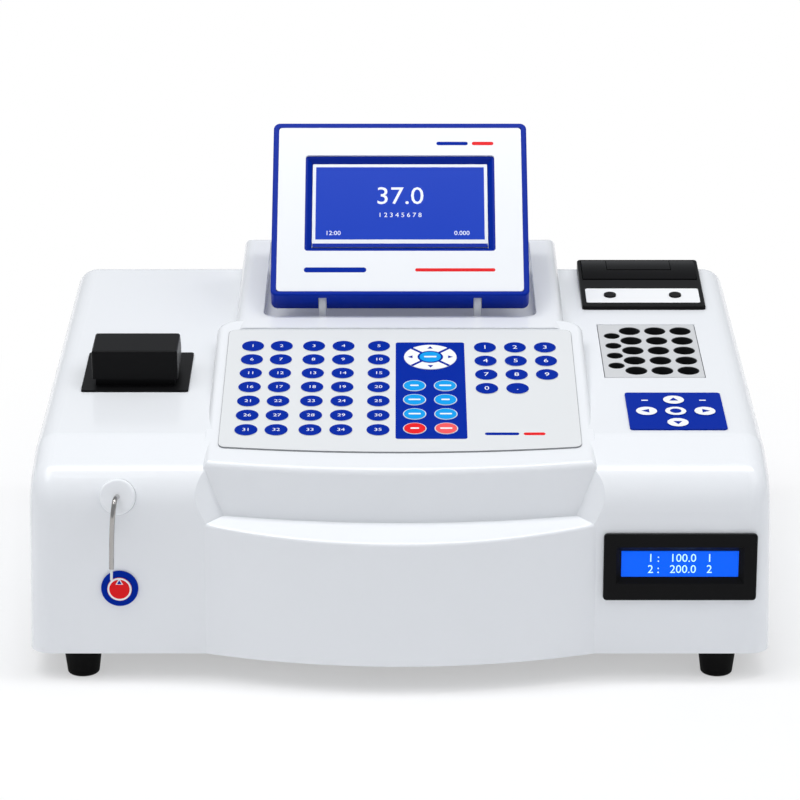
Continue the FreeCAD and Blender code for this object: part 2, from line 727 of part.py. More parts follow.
def console_form(name, inset):
    """The raised console with its bowed front wall."""
    body = new_body(name)
    half = S.console_half_width - inset
    radius = arc_radius(S.console_half_width, S.lip_sagitta)
    front = S.lip_side + inset
    back = S.console_back - inset
    outline = [(-half, front, radius), (half, front), (half, back), (-half, back)]
    base = S.rest_height - HEADROOM
    top = S.console_height + HEADROOM
    pad(body, draw(body, "XY_Plane", [outline], offset=base), top - base)

    def rear_upright(edge):
        return is_upright(edge) and edge.BoundBox.YMin > 0

    round_edges(body, S.console_corner - inset, rear_upright)
    drop = inset / cosine(S.console_slope)
    ahead = S.lip_side - HEADROOM
    behind = S.console_back + HEADROOM
    roof = [(ahead, S.console_height + CONSOLE_RISE * ahead - drop),
            (behind, S.console_height + CONSOLE_RISE * behind - drop),
            (behind, top + 1), (ahead, top + 1)]
    pocket(body, draw(body, "YZ_Plane", [roof]), 4 * S.body_half_width, symmetric=True)

    def roof_edge(edge):
        points = [edge.valueAt(edge.FirstParameter + part * (edge.LastParameter - edge.FirstParameter))
                  for part in (0.0, 0.5, 1.0)]
        plane = [S.console_height.value - drop.value + CONSOLE_RISE.value * p.y for p in points]
        return all(abs(p.z - z) < 0.01 for p, z in zip(points, plane))

    round_edges(body, S.console_edge - inset / 2, roof_edge)
    return body


def tower_form(name, inset):
    """The tower that rises behind the console to the rear face."""
    body = new_body(name)
    half = S.tower_half_width - inset
    front = S.console_back - HEADROOM / 4
    back = S.rear_face - inset
    drop = inset / cosine(S.tower_slope)
    base = S.deck_height - HEADROOM / 2
    profile = [(front, base), (back, base), (back, S.tower_height + TOWER_RISE * back - drop),
               (front, S.tower_height + TOWER_RISE * front - drop)]
    pad(body, draw(body, "YZ_Plane", [profile]), 2 * half, symmetric=True)

    def top_edge(edge):
        limits = edge.BoundBox
        return limits.ZMin > S.tower_height.value and limits.YMax > S.console_back.value

    round_edges(body, S.tower_edge - inset / 2, top_edge)
    return body


def well_form(name, grow):
    """The well that the screen folds back into, grown by a wall for its outside."""
    body = new_body(name)
    half = S.well_half_width + grow
    front, back = S.well_front - grow, S.well_back + grow
    outline = [(-half, front), (half, front), (half, back), (-half, back)]
    base = S.well_floor - HEADROOM / 2
    pad(body, draw(body, "XY_Plane", [outline], offset=base), 2 * dim(HEADROOM))
    round_edges(body, S.well_corner + grow, is_upright)
    drop = grow / cosine(S.well_slope)
    floor = [(front - 1, base - 1), (back + 1, base - 1),
             (back + 1, S.well_floor + WELL_RISE * (back + 1) - drop),
             (front - 1, S.well_floor + WELL_RISE * (front - 1) - drop)]
    pocket(body, draw(body, "YZ_Plane", [floor]), 4 * S.body_half_width, symmetric=True)
    return body


def housing_outside():
    none = dim(0)
    wings = wing_form("wings", none, S.foot_height)
    shelf = cut("wings_cut", wings, rest_tool("rest_space", none), console_trim("console_trim", none))
    return fuse("housing_outside", shelf, bow_form("bow", none, S.foot_height),
                console_form("console", none), tower_form("tower", none))


def console_trim(name, inset):
    """What stands over the console's plane, cleared before the console is added."""
    body = new_body(name)
    drop = inset / cosine(S.console_slope)
    ahead = S.lip_side
    behind = S.console_back - S.console_corner
    wedge = [(ahead, S.console_height + CONSOLE_RISE * ahead - drop),
             (behind, S.console_height + CONSOLE_RISE * behind - drop),
             (behind, S.console_height + HEADROOM), (ahead, S.console_height + HEADROOM)]
    pad(body, draw(body, "YZ_Plane", [wedge]), 2 * (S.console_half_width - inset), symmetric=True)
    return body


def housing_hollow():
    bottom = S.foot_height - BELOW
    wings = wing_form("wings_hollow", S.wall, bottom)
    shelf = cut("wings_hollow_cut", wings, rest_tool("rest_wall", S.wall),
                console_trim("console_trim_hollow", S.wall))
    filled = fuse("hollow_filled", shelf, bow_form("bow_hollow", S.wall, bottom),
                  console_form("console_hollow", S.wall), tower_form("tower_hollow", S.wall))
    return cut("housing_hollow", filled, well_form("well_wall", S.wall))


def boss_places():
    """Plan positions of the screws that hold the housing on the pan."""
    front = S.wing_front + 3 * S.side_round
    back = S.rear_face - 2 * S.side_round
    apart = S.body_half_width - S.boss_inset
    return [(side * apart, y) for side in (-1, 1) for y in (front, dim(0), back)]


CELL_PLATE = deck_frame(S.cell_x, S.cell_plate_front)
INCUBATOR = deck_frame(S.incubator_x, S.incubator_front)
PRINTER = deck_frame(S.printer_x, S.printer_front)
PRINTER_TOP = Frame(*PRINTER.point(0, 0, S.printer_lift), S.deck_slope + S.printer_slope)
WELL = Frame(0, 0, S.well_floor, S.well_slope)
FRONT_LCD = Frame(S.front_lcd_x, S.wing_front, S.front_lcd_bottom)

# The aspirator stands square to the swept front
SWEEP_Y = S.wing_front + S.front_sweep
SWEEP_Z = BROW_HEIGHT + BROW_RISE * SWEEP_Y - S.front_sweep / cosine(S.brow_slope)


ASPIRATOR = Frame(S.aspirator_x, SWEEP_Y - S.front_sweep * sine(S.aspirator_slope),
                  SWEEP_Z + S.front_sweep * cosine(S.aspirator_slope), S.aspirator_slope)
BOSS_SEAT = S.aspirator_radius * S.aspirator_radius / (2 * S.front_sweep) + 0.2
BUTTON_STEM = S.stem_radius + S.button_play
CONNECTOR_PLAY = 0.3


def rear_hole(name, x, z, half_width, half_height):
    """A rectangular hole for a connector in the rear wall."""
    return box(name, WORLD, centred(x, half_width + CONNECTOR_PLAY),
               (S.rear_face - 2 * S.wall, S.rear_face + 1), centred(z, half_height + CONNECTOR_PLAY))


def fan_grille():
    """Slots in the rear wall in front of the fan."""
    slots = []
    count = 7
    for number in range(count):
        rise = (number - (count - 1) / 2) * 2 * S.fan_bore / (count + 1)
        half = root(S.fan_bore * S.fan_bore - rise * rise) - S.wall / 2
        slots.append(box("grille_slot", WORLD, centred(S.fan_x, half),
                         (S.rear_face - 2 * S.wall, S.rear_face + 1),
                         centred(S.fan_z + rise, S.fan_bore / 12)))
    return slots


INLET_HALF = (dim(13.5), dim(10.0))
ROCKER_HALF = (dim(8.0), dim(11.0))
SERIAL_HALF = (dim(9.0), dim(5.0))
USB_HALF = (dim(6.5), dim(6.0))
WASTE_RADIUS = dim(3.0)


def make_upper_housing():
    """The white moulded shell with its bosses and all of its cut-outs."""
    shell = cut("housing_shell", housing_outside(), housing_hollow())
    bosses = [rod("boss", WORLD, x, y, PAN_TOP, S.boss_radius, S.boss_height) for x, y in boss_places()]
    bores = [rod("boss_bore", WORLD, x, y, PAN_TOP - 1, S.screw_radius, S.boss_height - S.wall)
             for x, y in boss_places()]
    through = (-2 * S.wall, dim(HEADROOM))
    rim = S.cell_flange
    openings = [
        well_form("screen_well", dim(0)),
        box("cell_cut", CELL_PLATE, centred(0, S.cell_plate_half_width - rim),
            (rim, S.cell_plate_length - rim), through),
        box("incubator_cut", INCUBATOR, centred(0, S.incubator_half_width + S.incubator_gap),
            (-S.incubator_gap, S.incubator_length + S.incubator_gap), through),
        box("printer_cut", PRINTER, centred(0, S.printer_half_width - S.printer_rim),
            (S.printer_rim, S.printer_length - S.printer_rim), through),
        box("front_lcd_cut", FRONT_LCD, centred(0, S.front_lcd_half_width - S.front_lcd_flange),
            centred(0, 2 * S.wall), (S.front_lcd_flange, S.front_lcd_height - S.front_lcd_flange)),
        rod("aspirator_seat", ASPIRATOR, 0, 0, -BOSS_SEAT, S.aspirator_radius + 0.1, HEADROOM),
        rod("aspirator_hole", ASPIRATOR, 0, 0, -3 * S.wall, BUTTON_STEM, HEADROOM),
        rod("aspirate_hole", WORLD, S.aspirator_x, S.wing_front - 1, S.aspirate_height,
            BUTTON_STEM, 3 * S.wall, "v"),
        rear_hole("inlet_hole", S.inlet_x, S.inlet_z, *INLET_HALF),
        rear_hole("rocker_hole", S.rocker_x, S.inlet_z, *ROCKER_HALF),
        rear_hole("serial_hole", S.serial_x, S.ports_z, *SERIAL_HALF),
        rear_hole("usb_hole", S.usb_x, S.ports_z, *USB_HALF),
        rod("waste_hole", WORLD, S.waste_x, S.rear_face - 2 * S.wall, S.ports_z,
            WASTE_RADIUS + 0.1, 3 * S.wall, "v"),
    ]
    solid = fuse("housing_with_bosses", shell, *bosses)
    node("upper_housing", cut("upper_housing_cut", solid, *openings, *bores, *fan_grille()))


# Base pan, feet and screws
def pan_outline(inset):
    """The housing's inner outline at its bottom edge, drawn in further by an inset."""
    gap = S.wall + S.pan_gap + inset
    half = S.body_half_width - gap
    front, back = S.wing_front + gap, S.rear_face - gap
    bow = S.bow_half_width - gap
    radius = arc_radius(S.bow_half_width, S.bow_sagitta) - gap
    return [(-half, front), (-bow, front, radius), (bow, front), (half, front), (half, back), (-half, back)]


def foot_places():
    apart = S.body_half_width - S.foot_inset
    return [(side * apart, y) for y in (S.foot_front, S.foot_rear) for side in (-1, 1)]


BOARD_X = (dim(-40), dim(72))
BOARD_Y = (dim(-70), dim(42))


def board_posts():
    inset = 6
    return [(x, y) for x in (BOARD_X[0] + inset, BOARD_X[1] - inset)
            for y in (BOARD_Y[0] + inset, BOARD_Y[1] - inset)]


def make_base_pan():
    """The pan that closes the housing from below, with a rim, vents and board posts."""
    body = new_body("base_pan_body")
    pad(body, draw(body, "XY_Plane", [pan_outline(dim(0))], offset=S.foot_height),
        S.pan_thickness + S.pan_rim)
    corner = S.side_round - S.wall

    def corner_edge(edge):
        point = edge.BoundBox.Center
        return is_upright(edge) and abs(point.x) > S.bow_half_width.value

    round_edges(body, corner, corner_edge)
    sheet = dim(2)
    inner = pan_outline(sheet)
    pocket(body, draw(body, "XY_Plane", [inner], offset=PAN_TOP + S.pan_rim), S.pan_rim)
    holes = [(x, y, S.screw_radius + 0.2) for x, y in foot_places() + boss_places()]
    vents = []
    for number in range(8):
        x = 30 + 9 * dim(number)
        vents.append([(x, dim(-40)), (x + 3.5, dim(-40)), (x + 3.5, dim(20)), (x, dim(20))])
    pocket(body, draw(body, "XY_Plane", vents, holes, offset=PAN_TOP), 2 * S.pan_thickness)
    clear = S.boss_radius + S.pan_gap
    notches = [rod("rim_notch", WORLD, x, y, PAN_TOP, clear, 2 * S.pan_rim) for x, y in boss_places()]
    posts = [rod("board_post", WORLD, x, y, PAN_TOP - 1, 3.5, S.board_standoff + 1) for x, y in board_posts()]
    node("base_pan", fuse("base_pan_posts", cut("base_pan_cut", body, *notches), *posts))


def make_feet():
    """Four turned rubber feet, each with a deep hole for its screw."""
    feet = []
    for x, y in foot_places():
        body = new_body("foot_body", WORLD, x, y)
        seat = S.foot_height / 3
        profile = [(S.screw_head_radius + 0.3, dim(0)), (S.foot_tread_radius, dim(0)),
                   (S.foot_top_radius, S.foot_height), (S.screw_radius + 0.2, S.foot_height),
                   (S.screw_radius + 0.2, seat), (S.screw_head_radius + 0.3, seat)]
        revolve(body, draw(body, "XZ_Plane", [profile]))
        outer = S.foot_tread_radius.value

        def tread(edge):
            limits = edge.BoundBox
            return limits.ZLength < 0.01 and abs(limits.ZMin) < 0.01 and limits.XLength > 1.9 * outer

        round_edges(body, S.foot_edge, tread)
        feet.append(body)
    node("rubber_feet", group("foot_group", *feet))


def screw(x, y, top, length):
    """A pan-head screw that points up, its head's top face at a height."""
    head = rod("screw_head", WORLD, x, y, top - S.screw_head_height, S.screw_head_radius, S.screw_head_height)
    shank = rod("screw_shank", WORLD, x, y, top - 0.5, S.screw_radius, length + 0.5)
    socket = rod("screw_socket", WORLD, x, y, top - S.screw_head_height - 1, S.screw_head_radius / 2.5, 2.4)
    return cut("screw", fuse("screw_blank", head, shank), socket)


def make_screws():
    seat = S.foot_height / 3
    foot_length = S.foot_height - seat + S.pan_thickness + 6
    bolts = []
    for x, y in foot_places():
        nut = new_body("nut_body", WORLD, x, y, PAN_TOP)
        flats = S.screw_radius * 1.9
        corners = [(flats * math.cos(math.radians(60 * k)), flats * math.sin(math.radians(60 * k)))
                   for k in range(6)]
        pad(nut, draw(nut, "XY_Plane", [corners]), S.screw_radius * 1.6)
        bolts.append(fuse("foot_bolt", screw(x, y, seat, foot_length), nut))
    node("foot_bolts", group("foot_bolt_group", *bolts))
    length = S.pan_thickness + S.boss_height - 2 * S.wall
    node("housing_screws", group("housing_screw_group",
                                 *[screw(x, y, S.foot_height, length) for x, y in boss_places()]))


# Printed keypads
def key_spots():
    """Centres and radii of the round keys on the console, measured along its slope."""
    slope = cosine(S.console_slope)
    spots = []
    columns = (S.test_column_1, S.test_column_2, S.test_column_3, S.test_column_4, S.test_column_5)
    for row in range(7):
        spots += [(x, S.test_row / slope - row * S.key_pitch, S.key_radius) for x in columns]
    for row in range(4):
        for column in range(3 if row < 3 else 2):
            spots.append((S.number_column + column * S.number_pitch,
                          S.number_row / slope - row * S.key_pitch, S.key_radius))
    for row in range(4):
        spots += [(S.soft_column + column * S.soft_pitch, S.soft_row / slope - row * S.key_pitch,
                   S.key_radius) for column in range(2)]
    spots.append((S.ring_x, S.ring_row / slope, S.ring_radius))
    return spots


def make_keypads():
    """The two printed overlays with their embossed keys."""
    slope = cosine(S.console_slope)
    body = new_body("keypad_body", CONSOLE)
    half = S.keypad_half_width
    front = S.keypad_front / slope
    outline = [(-half, front, arc_radius(half, S.keypad_sagitta)), (half, front),
               (half, S.keypad_rear / slope), (-half, S.keypad_rear / slope)]
    pad(body, draw(body, "XY_Plane", [outline]), S.overlay_thickness)
    round_edges(body, S.keypad_corner, is_upright)
    pad(body, draw(body, "XY_Plane", circles=key_spots(), offset=S.overlay_thickness / 2),
        S.overlay_thickness / 2 + S.key_rise)
    node("keypad_overlay", body)

    side = new_body("side_keypad_body", deck_frame(S.side_pad_x, S.side_pad_front))
    half = S.side_pad_half_width
    length = S.side_pad_length
    outline = [(-half, dim(0)), (half, dim(0)), (half, length), (-half, length)]
    pad(side, draw(side, "XY_Plane", [outline]), S.overlay_thickness)
    round_edges(side, S.keypad_corner / 2, is_upright)
    middle = length / 2 - 1.5
    pitch = S.side_key_pitch
    keys = [(x * pitch, middle + y * pitch, S.side_key_radius)
            for x, y in ((0, 0), (-1, 0), (1, 0), (0, 1), (0, -1))]
    pad(side, draw(side, "XY_Plane", circles=keys, offset=S.overlay_thickness / 2),
        S.overlay_thickness / 2 + S.key_rise)
    node("side_keypad_overlay", side)


# Cell compartment
PLATE_TOP = S.cell_plate_thickness / 2
COLLAR_TOP = PLATE_TOP + S.collar_height
LID_BASE = COLLAR_TOP + S.rest_play
LID_BACK = S.lid_axis - S.lid_barrel_radius - 2 * S.rest_play - 1
LID_AXIS_UP = PLATE_TOP + S.lid_barrel_radius + 2 * S.rest_play
EAR_LENGTH = dim(4)


def make_cell_plate():
    """The black plate with its light collar, the chamber opening and the hinge pin in its two ears."""
    rim = S.cell_flange + S.rest_play
    half = S.cell_plate_half_width
    body = new_body("cell_plate_body", CELL_PLATE)
    outline = [(-half, dim(0)), (half, dim(0)), (half, S.cell_plate_length), (-half, S.cell_plate_length)]
    pad(body, draw(body, "XY_Plane", [outline]), PLATE_TOP)
    round_edges(body, 1.6, is_upright)
    plug = box("cell_plug", CELL_PLATE, centred(0, half - rim), (rim, S.cell_plate_length - rim),
               (-S.wall - 2, dim(0)))
    inset = 2
    collar = box("collar", CELL_PLATE, centred(0, S.lid_half_width - inset),
                 (S.lid_setback + inset, LID_BACK - inset), (dim(0), COLLAR_TOP))
    ears = []
    for side in (-1, 1):
        inner = S.lid_barrel_half_length + S.side_play
        low, high = (inner, inner + EAR_LENGTH) if side > 0 else (-inner - EAR_LENGTH, -inner)
        radius = S.lid_barrel_radius
        ears.append(box("lid_ear", CELL_PLATE, (low, high), centred(S.lid_axis, radius), (dim(0), LID_AXIS_UP)))
        ears.append(rod("lid_eye", CELL_PLATE, low, S.lid_axis, LID_AXIS_UP, radius, EAR_LENGTH, "x"))
    span = S.lid_barrel_half_length + S.side_play + EAR_LENGTH
    pin = rod("lid_pin", CELL_PLATE, -span, S.lid_axis, LID_AXIS_UP, S.lid_pin_radius, 2 * span, "x")
    wall = inset + S.collar_wall
    chamber = box("chamber", CELL_PLATE, centred(0, S.lid_half_width - wall),
                  (S.lid_setback + wall, LID_BACK - wall), (-2 * S.wall - 2, dim(HEADROOM)))
    node("cell_deck_plate", cut("cell_plate_cut", fuse("cell_plate", body, plug, collar, pin, *ears), chamber))


def make_cell_lid():
    """The hollow black lid, hinged at the rear."""
    body = new_body("lid_body", CELL_PLATE)
    top = LID_BASE + S.lid_height
    front = S.lid_setback
    knee = S.lid_setback + S.lid_top_length
    shoulder = LID_BASE + S.lid_height / 2
    outline = [(front, LID_BASE), (LID_BACK, LID_BASE), (LID_BACK, shoulder), (knee, top), (front, top)]
    pad(body, draw(body, "YZ_Plane", [outline]), 2 * S.lid_half_width, symmetric=True)

    def outer_edge(edge):
        return edge.BoundBox.ZMax > LID_BASE.value + 0.1

    round_edges(body, 1.5, outer_edge)
    wall = S.lid_wall
    inner = [(front + wall, LID_BASE - 1), (LID_BACK - wall, LID_BASE - 1), (LID_BACK - wall, shoulder - wall / 2),
             (knee - wall / 2, top - wall), (front + wall, top - wall)]
    pocket(body, draw(body, "YZ_Plane", [inner]), 2 * (S.lid_half_width - wall), symmetric=True)
    half = S.lid_barrel_half_length
    web = box("lid_web", CELL_PLATE, centred(0, half), (LID_BACK - wall, S.lid_axis),
              (LID_AXIS_UP, LID_AXIS_UP + S.lid_barrel_radius))
    barrel = rod("lid_barrel", CELL_PLATE, -half, S.lid_axis, LID_AXIS_UP, S.lid_barrel_radius, 2 * half, "x")
    bore = rod("lid_bore", CELL_PLATE, -half - 1, S.lid_axis, LID_AXIS_UP,
               S.lid_pin_radius + S.hinge_play, 2 * half + 2, "x")
    node("cell_lid", cut("lid_bored", fuse("lid_hinged", body, web, barrel), bore))


# Optical bench
BENCH_BASE = PAN_TOP + S.bench_height
BENCH_TOP = BENCH_BASE + S.bench_thickness
BEAM = BENCH_TOP + S.beam_height
WHEEL_X = S.cell_x + S.filter_pitch_radius


def make_bench():
    """The bench plate on four posts, and everything along the light beam."""
    low, high = centred(S.cell_x, S.bench_half_width)
    plate = box("bench_plate", WORLD, (low, high), (S.bench_front, S.bench_back), (BENCH_BASE, BENCH_TOP))
    post = S.bench_thickness
    posts = [rod("bench_post", WORLD, x, y, PAN_TOP, post, S.bench_height + 1)
             for x in (low + post, high - post) for y in (S.bench_front + post, S.bench_back - post)]
    node("optical_bench", fuse("bench", plate, *posts))

    holder = box("holder_block", WORLD, centred(S.cell_x, S.holder_half_width),
                 centred(S.cell_y, S.holder_half_depth), (BENCH_TOP, BENCH_TOP + S.holder_height))
    slack = S.cell_size / 2 + 0.15
    floor = BENCH_TOP + S.holder_height - S.cell_length
    square = box("holder_square", WORLD, centred(S.cell_x, slack), centred(S.cell_y, slack),
                 (floor, BENCH_TOP + S.holder_height + 1))
    beam = rod("holder_beam", WORLD, S.cell_x, S.cell_y - S.holder_half_depth - 1, BEAM, S.beam_radius,
               2 * S.holder_half_depth + 2, "v")
    port = rod("holder_port", WORLD, S.cell_x - S.holder_half_width - 1, S.cell_y, BEAM + 12,
               S.tube_radius / 2, S.holder_half_width, "x")
    node("cell_holder", cut("holder", holder, square, beam, port))

    cell = box("cell_block", WORLD, centred(S.cell_x, S.cell_size / 2), centred(S.cell_y, S.cell_size / 2),
               (floor, floor + S.cell_length))
    bore = rod("cell_bore", WORLD, S.cell_x, S.cell_y, BEAM - 8, 2, 24)
    node("flow_cell", cut("cell", cell, bore))

    body = new_body("lamp_block_body", WORLD, S.cell_x, S.lamp_front, BENCH_TOP)
    half = S.lamp_half_width
    height = 2 * S.beam_height - 3
    outline = [(-half, dim(0)), (half, dim(0)), (half, height), (-half, height)]
    pad(body, draw(body, "XZ_Plane", [outline], [(0, S.beam_height, S.lamp_tube_radius)]),
        S.lamp_length, reverse=True)
    slots = []
    fin = S.lamp_length / 11
    for number in range(5):
        start = fin * (2 * number + 1)
        slots.append([(start, height - 9), (start + fin, height - 9), (start + fin, height + 1),
                      (start, height + 1)])
    pocket(body, draw(body, "YZ_Plane", slots), 3 * half, symmetric=True)
    node("lamp_housing", body)

    lamp = new_body("halogen_lamp_body", WORLD, S.cell_x, S.lamp_front + S.lamp_length, BEAM, "v")
    bulb = S.bulb_radius
    tip = dim(-30)
    profile = [(dim(0), tip, bulb * 1.02), (bulb, tip + bulb), (bulb, dim(-14)),
               (S.lamp_tube_radius - 0.3, dim(-14)), (S.lamp_tube_radius - 0.3, dim(0)),
               (S.lamp_tube_radius + 3, dim(0)), (S.lamp_tube_radius + 3, dim(2.5)), (dim(0), dim(2.5))]
    revolve(lamp, draw(lamp, "XZ_Plane", [profile]))
    node("halogen_lamp", lamp)

    lens = new_body("lens_body", WORLD, S.cell_x, S.lamp_front + 2, BEAM, "v")
    reach = S.lamp_tube_radius - 0.05
    height = dim(4.2)
    curve = (reach * reach + height * height) / (2 * height)
    profile = [(dim(0), dim(0)), (reach, dim(0)), (reach, dim(3), curve), (dim(0), height + 3)]
    revolve(lens, draw(lens, "XZ_Plane", [profile]))
    node("condenser_lens", lens)

    wheel = new_body("filter_wheel_body", WORLD, WHEEL_X, S.filter_y + S.filter_thickness, BEAM)
    pad(wheel, draw(wheel, "XZ_Plane", circles=[(0, 0, S.filter_radius),
                                               (0, 0, S.spindle_radius + S.hinge_play)]), S.filter_thickness)
    count = 8
    ring = S.filter_pitch_radius
    spots = [(ring * -math.cos(2 * math.pi * k / count), ring * math.sin(2 * math.pi * k / count),
              S.filter_hole_radius) for k in range(count)]
    pocket(wheel, draw(wheel, "XZ_Plane", circles=spots, offset=-dim(1)), 3 * S.filter_thickness,
           symmetric=True)
    node("filter_wheel", wheel)
    glasses = []
    for k in range(count):
        angle = 2 * math.pi * k / count
        glasses.append(rod("filter_glass", WORLD, WHEEL_X - ring * math.cos(angle), S.filter_y + 1,
                           BEAM + ring * math.sin(angle), S.filter_hole_radius, S.filter_thickness - 2, "v"))
    node("interference_filters", group("filter_glasses", *glasses))

    gap = 3
    motor_back = S.filter_y - gap - S.filter_motor_length
    motor = rod("filter_motor_can", WORLD, WHEEL_X, motor_back, BEAM, S.filter_motor_radius,
                S.filter_motor_length, "v")
    spindle = rod("filter_spindle", WORLD, WHEEL_X, S.filter_y - gap - 1, BEAM, S.spindle_radius,
                  gap + 1 + S.filter_thickness, "v")
    foot = box("filter_motor_foot", WORLD, centred(WHEEL_X, S.filter_motor_radius * 0.7),
               (motor_back + 3, S.filter_y - gap - 3), (BENCH_TOP, BEAM - S.filter_motor_radius / 2))
    node("filter_motor", fuse("filter_motor_whole", motor, spindle, foot))

    right = WHEEL_X - S.filter_motor_radius - 2
    board = box("detector_plate", WORLD, (right - 26, right), (dim(-72), dim(-72) + S.board_thickness),
                (BENCH_TOP, BEAM + 12))
    eye = rod("detector_eye", WORLD, S.cell_x, dim(-72), BEAM, 3, 9, "v")
    node("detector_board", fuse("detector", board, eye))


# Aspirator and its tubes
def vector_of(x, y, z):
    return Vector(dim(x).value, dim(y).value, dim(z).value)


def bent_path(points, radii):
    """Straight runs joined by tangent arcs."""
    edges = []
    start = points[0]
    for before, corner, after, radius in zip(points, points[1:], points[2:], radii):
        inward, outward = (before - corner).normalize(), (after - corner).normalize()
        half = inward.getAngle(outward) / 2
        reach = radius / math.tan(half)
        first, last = corner + inward * reach, corner + outward * reach
        centre = corner + (inward + outward).normalize() * (radius / math.sin(half))
        middle = centre + (corner - centre).normalize() * radius
        edges.append(Part.LineSegment(start, first).toShape())
        edges.append(Part.Arc(first, middle, last).toShape())
        start = last
    edges.append(Part.LineSegment(start, points[-1]).toShape())
    return Part.Wire(edges)


def tube(name, points, radii, outer, inner):
    """A tube along a bent path, as a shape that follows the sheet's values."""
    path = bent_path(points, radii)
    direction = points[1] - points[0]
    walls = []
    for radius in (outer.value, inner.value):
        ring = Part.Wire(Part.makeCircle(radius, points[0], direction))
        walls.append(path.makePipeShell([ring], True, False))
    feature = doc.addObject("Part::Feature", name)
    feature.Shape = walls[0].cut(walls[1])
    return feature


def make_aspirator():
    """The white boss, the bent needle with its liner, and the tube behind them."""
    body = new_body("aspirator_boss_body", ASPIRATOR)
    bore = S.needle_radius
    profile = [(bore, -3 * S.wall), (S.stem_radius, -3 * S.wall), (S.stem_radius, -BOSS_SEAT),
               (S.aspirator_radius, -BOSS_SEAT), (S.aspirator_radius, S.aspirator_proud),
               (bore, S.aspirator_proud)]
    revolve(body, draw(body, "XZ_Plane", [profile]))
    limit = S.aspirator_radius.value

    def face_edge(edge):
        limits = edge.BoundBox
        return abs(limits.ZMin - S.aspirator_proud.value) < 0.01 and limits.XLength > 1.9 * limit

    round_edges(body, S.aspirator_proud * 0.55, face_edge)
    node("aspirator_boss", body)

    inner = 4 * S.wall
    start = vector_of(*ASPIRATOR.point(0, 0, -inner))
    corner_rise = (ASPIRATOR.y - S.needle_y) / tangent(S.aspirator_slope)
    corner = vector_of(S.aspirator_x, S.needle_y, ASPIRATOR.z + corner_rise)
    tip = vector_of(S.aspirator_x, S.needle_y, S.needle_tip)
    node("aspiration_needle", tube("needle", [start, corner, tip], [S.needle_bend.value],
                                   S.needle_radius, S.needle_bore))
    node("needle_liner", rod("liner", WORLD, S.aspirator_x, S.needle_y, S.liner_tip, S.needle_bore,
                             S.needle_tip - S.liner_tip + 6))

    behind = vector_of(*ASPIRATOR.point(0, 0, -3.2 * S.wall))
    inward = vector_of(*ASPIRATOR.point(0, 0, -3.2 * S.wall - 18))
    left = S.cell_x - S.bench_half_width + 3
    port = BEAM + 12
    points = [behind, inward, vector_of(left, S.bench_front - 10, BEAM - 8),
              vector_of(left, S.cell_y, port), vector_of(S.cell_x - S.holder_half_width, S.cell_y, port)]
    runs = [(b - a).Length for a, b in zip(points, points[1:])]
    radii = []
    for a, corner, b, before, after in zip(points, points[1:], points[2:], runs, runs[1:]):
        turn = math.pi - (a - corner).getAngle(b - corner)
        radii.append(0.45 * min(before, after) / math.tan(turn / 2))
    node("sample_tube", tube("sample", points, radii, S.tube_radius, S.needle_radius))


def make_aspirate_button():
    """The ring on the front and the button that slides in it."""
    x, z = S.aspirator_x, S.aspirate_height
    play = S.button_play
    ring_back = S.wing_front
    body = new_body("aspirate_ring_body", WORLD, x, ring_back, z)
    pad(body, draw(body, "XZ_Plane", circles=[(0, 0, S.aspirate_ring_radius),
                                              (0, 0, S.aspirate_button_radius + play)]),
        S.aspirate_ring_proud)

    def front_rim(edge):
        limits = edge.BoundBox
        on_front = abs(limits.YMax + S.aspirate_ring_proud.value) < 0.01
        return on_front and limits.XLength > 1.9 * S.aspirate_ring_radius.value

    round_edges(body, S.aspirate_ring_proud / 2, front_rim)
    node("aspirate_ring", body)
    front = S.wing_front - S.aspirate_ring_proud - 0.4
    back = S.wing_front - S.aspirate_travel - 0.3
    cap = rod("aspirate_cap", WORLD, x, front, z, S.aspirate_button_radius, back - front, "v")
    stem_end = S.wing_front + S.wall + 3
    stem = rod("aspirate_stem", WORLD, x, front + 0.5, z, S.stem_radius, stem_end - front - 0.5, "v")
    clip = rod("aspirate_clip", WORLD, x, stem_end - 1.5, z, S.stem_radius + 1.2, 1.5, "v")
    node("aspirate_button", fuse("aspirate_button_whole", cap, stem, clip))
    switch_front = stem_end + S.aspirate_travel + 0.3
    switch = box("aspirate_switch_body", WORLD, centred(x, 6), (switch_front, switch_front + 5), centred(z, 6))
    board = box("aspirate_board", WORLD, centred(x, 14), (switch_front + 5, switch_front + 5 + S.board_thickness),
                (PAN_TOP, z + 12))
    node("aspirate_switch", fuse("aspirate_switch_whole", switch, board))


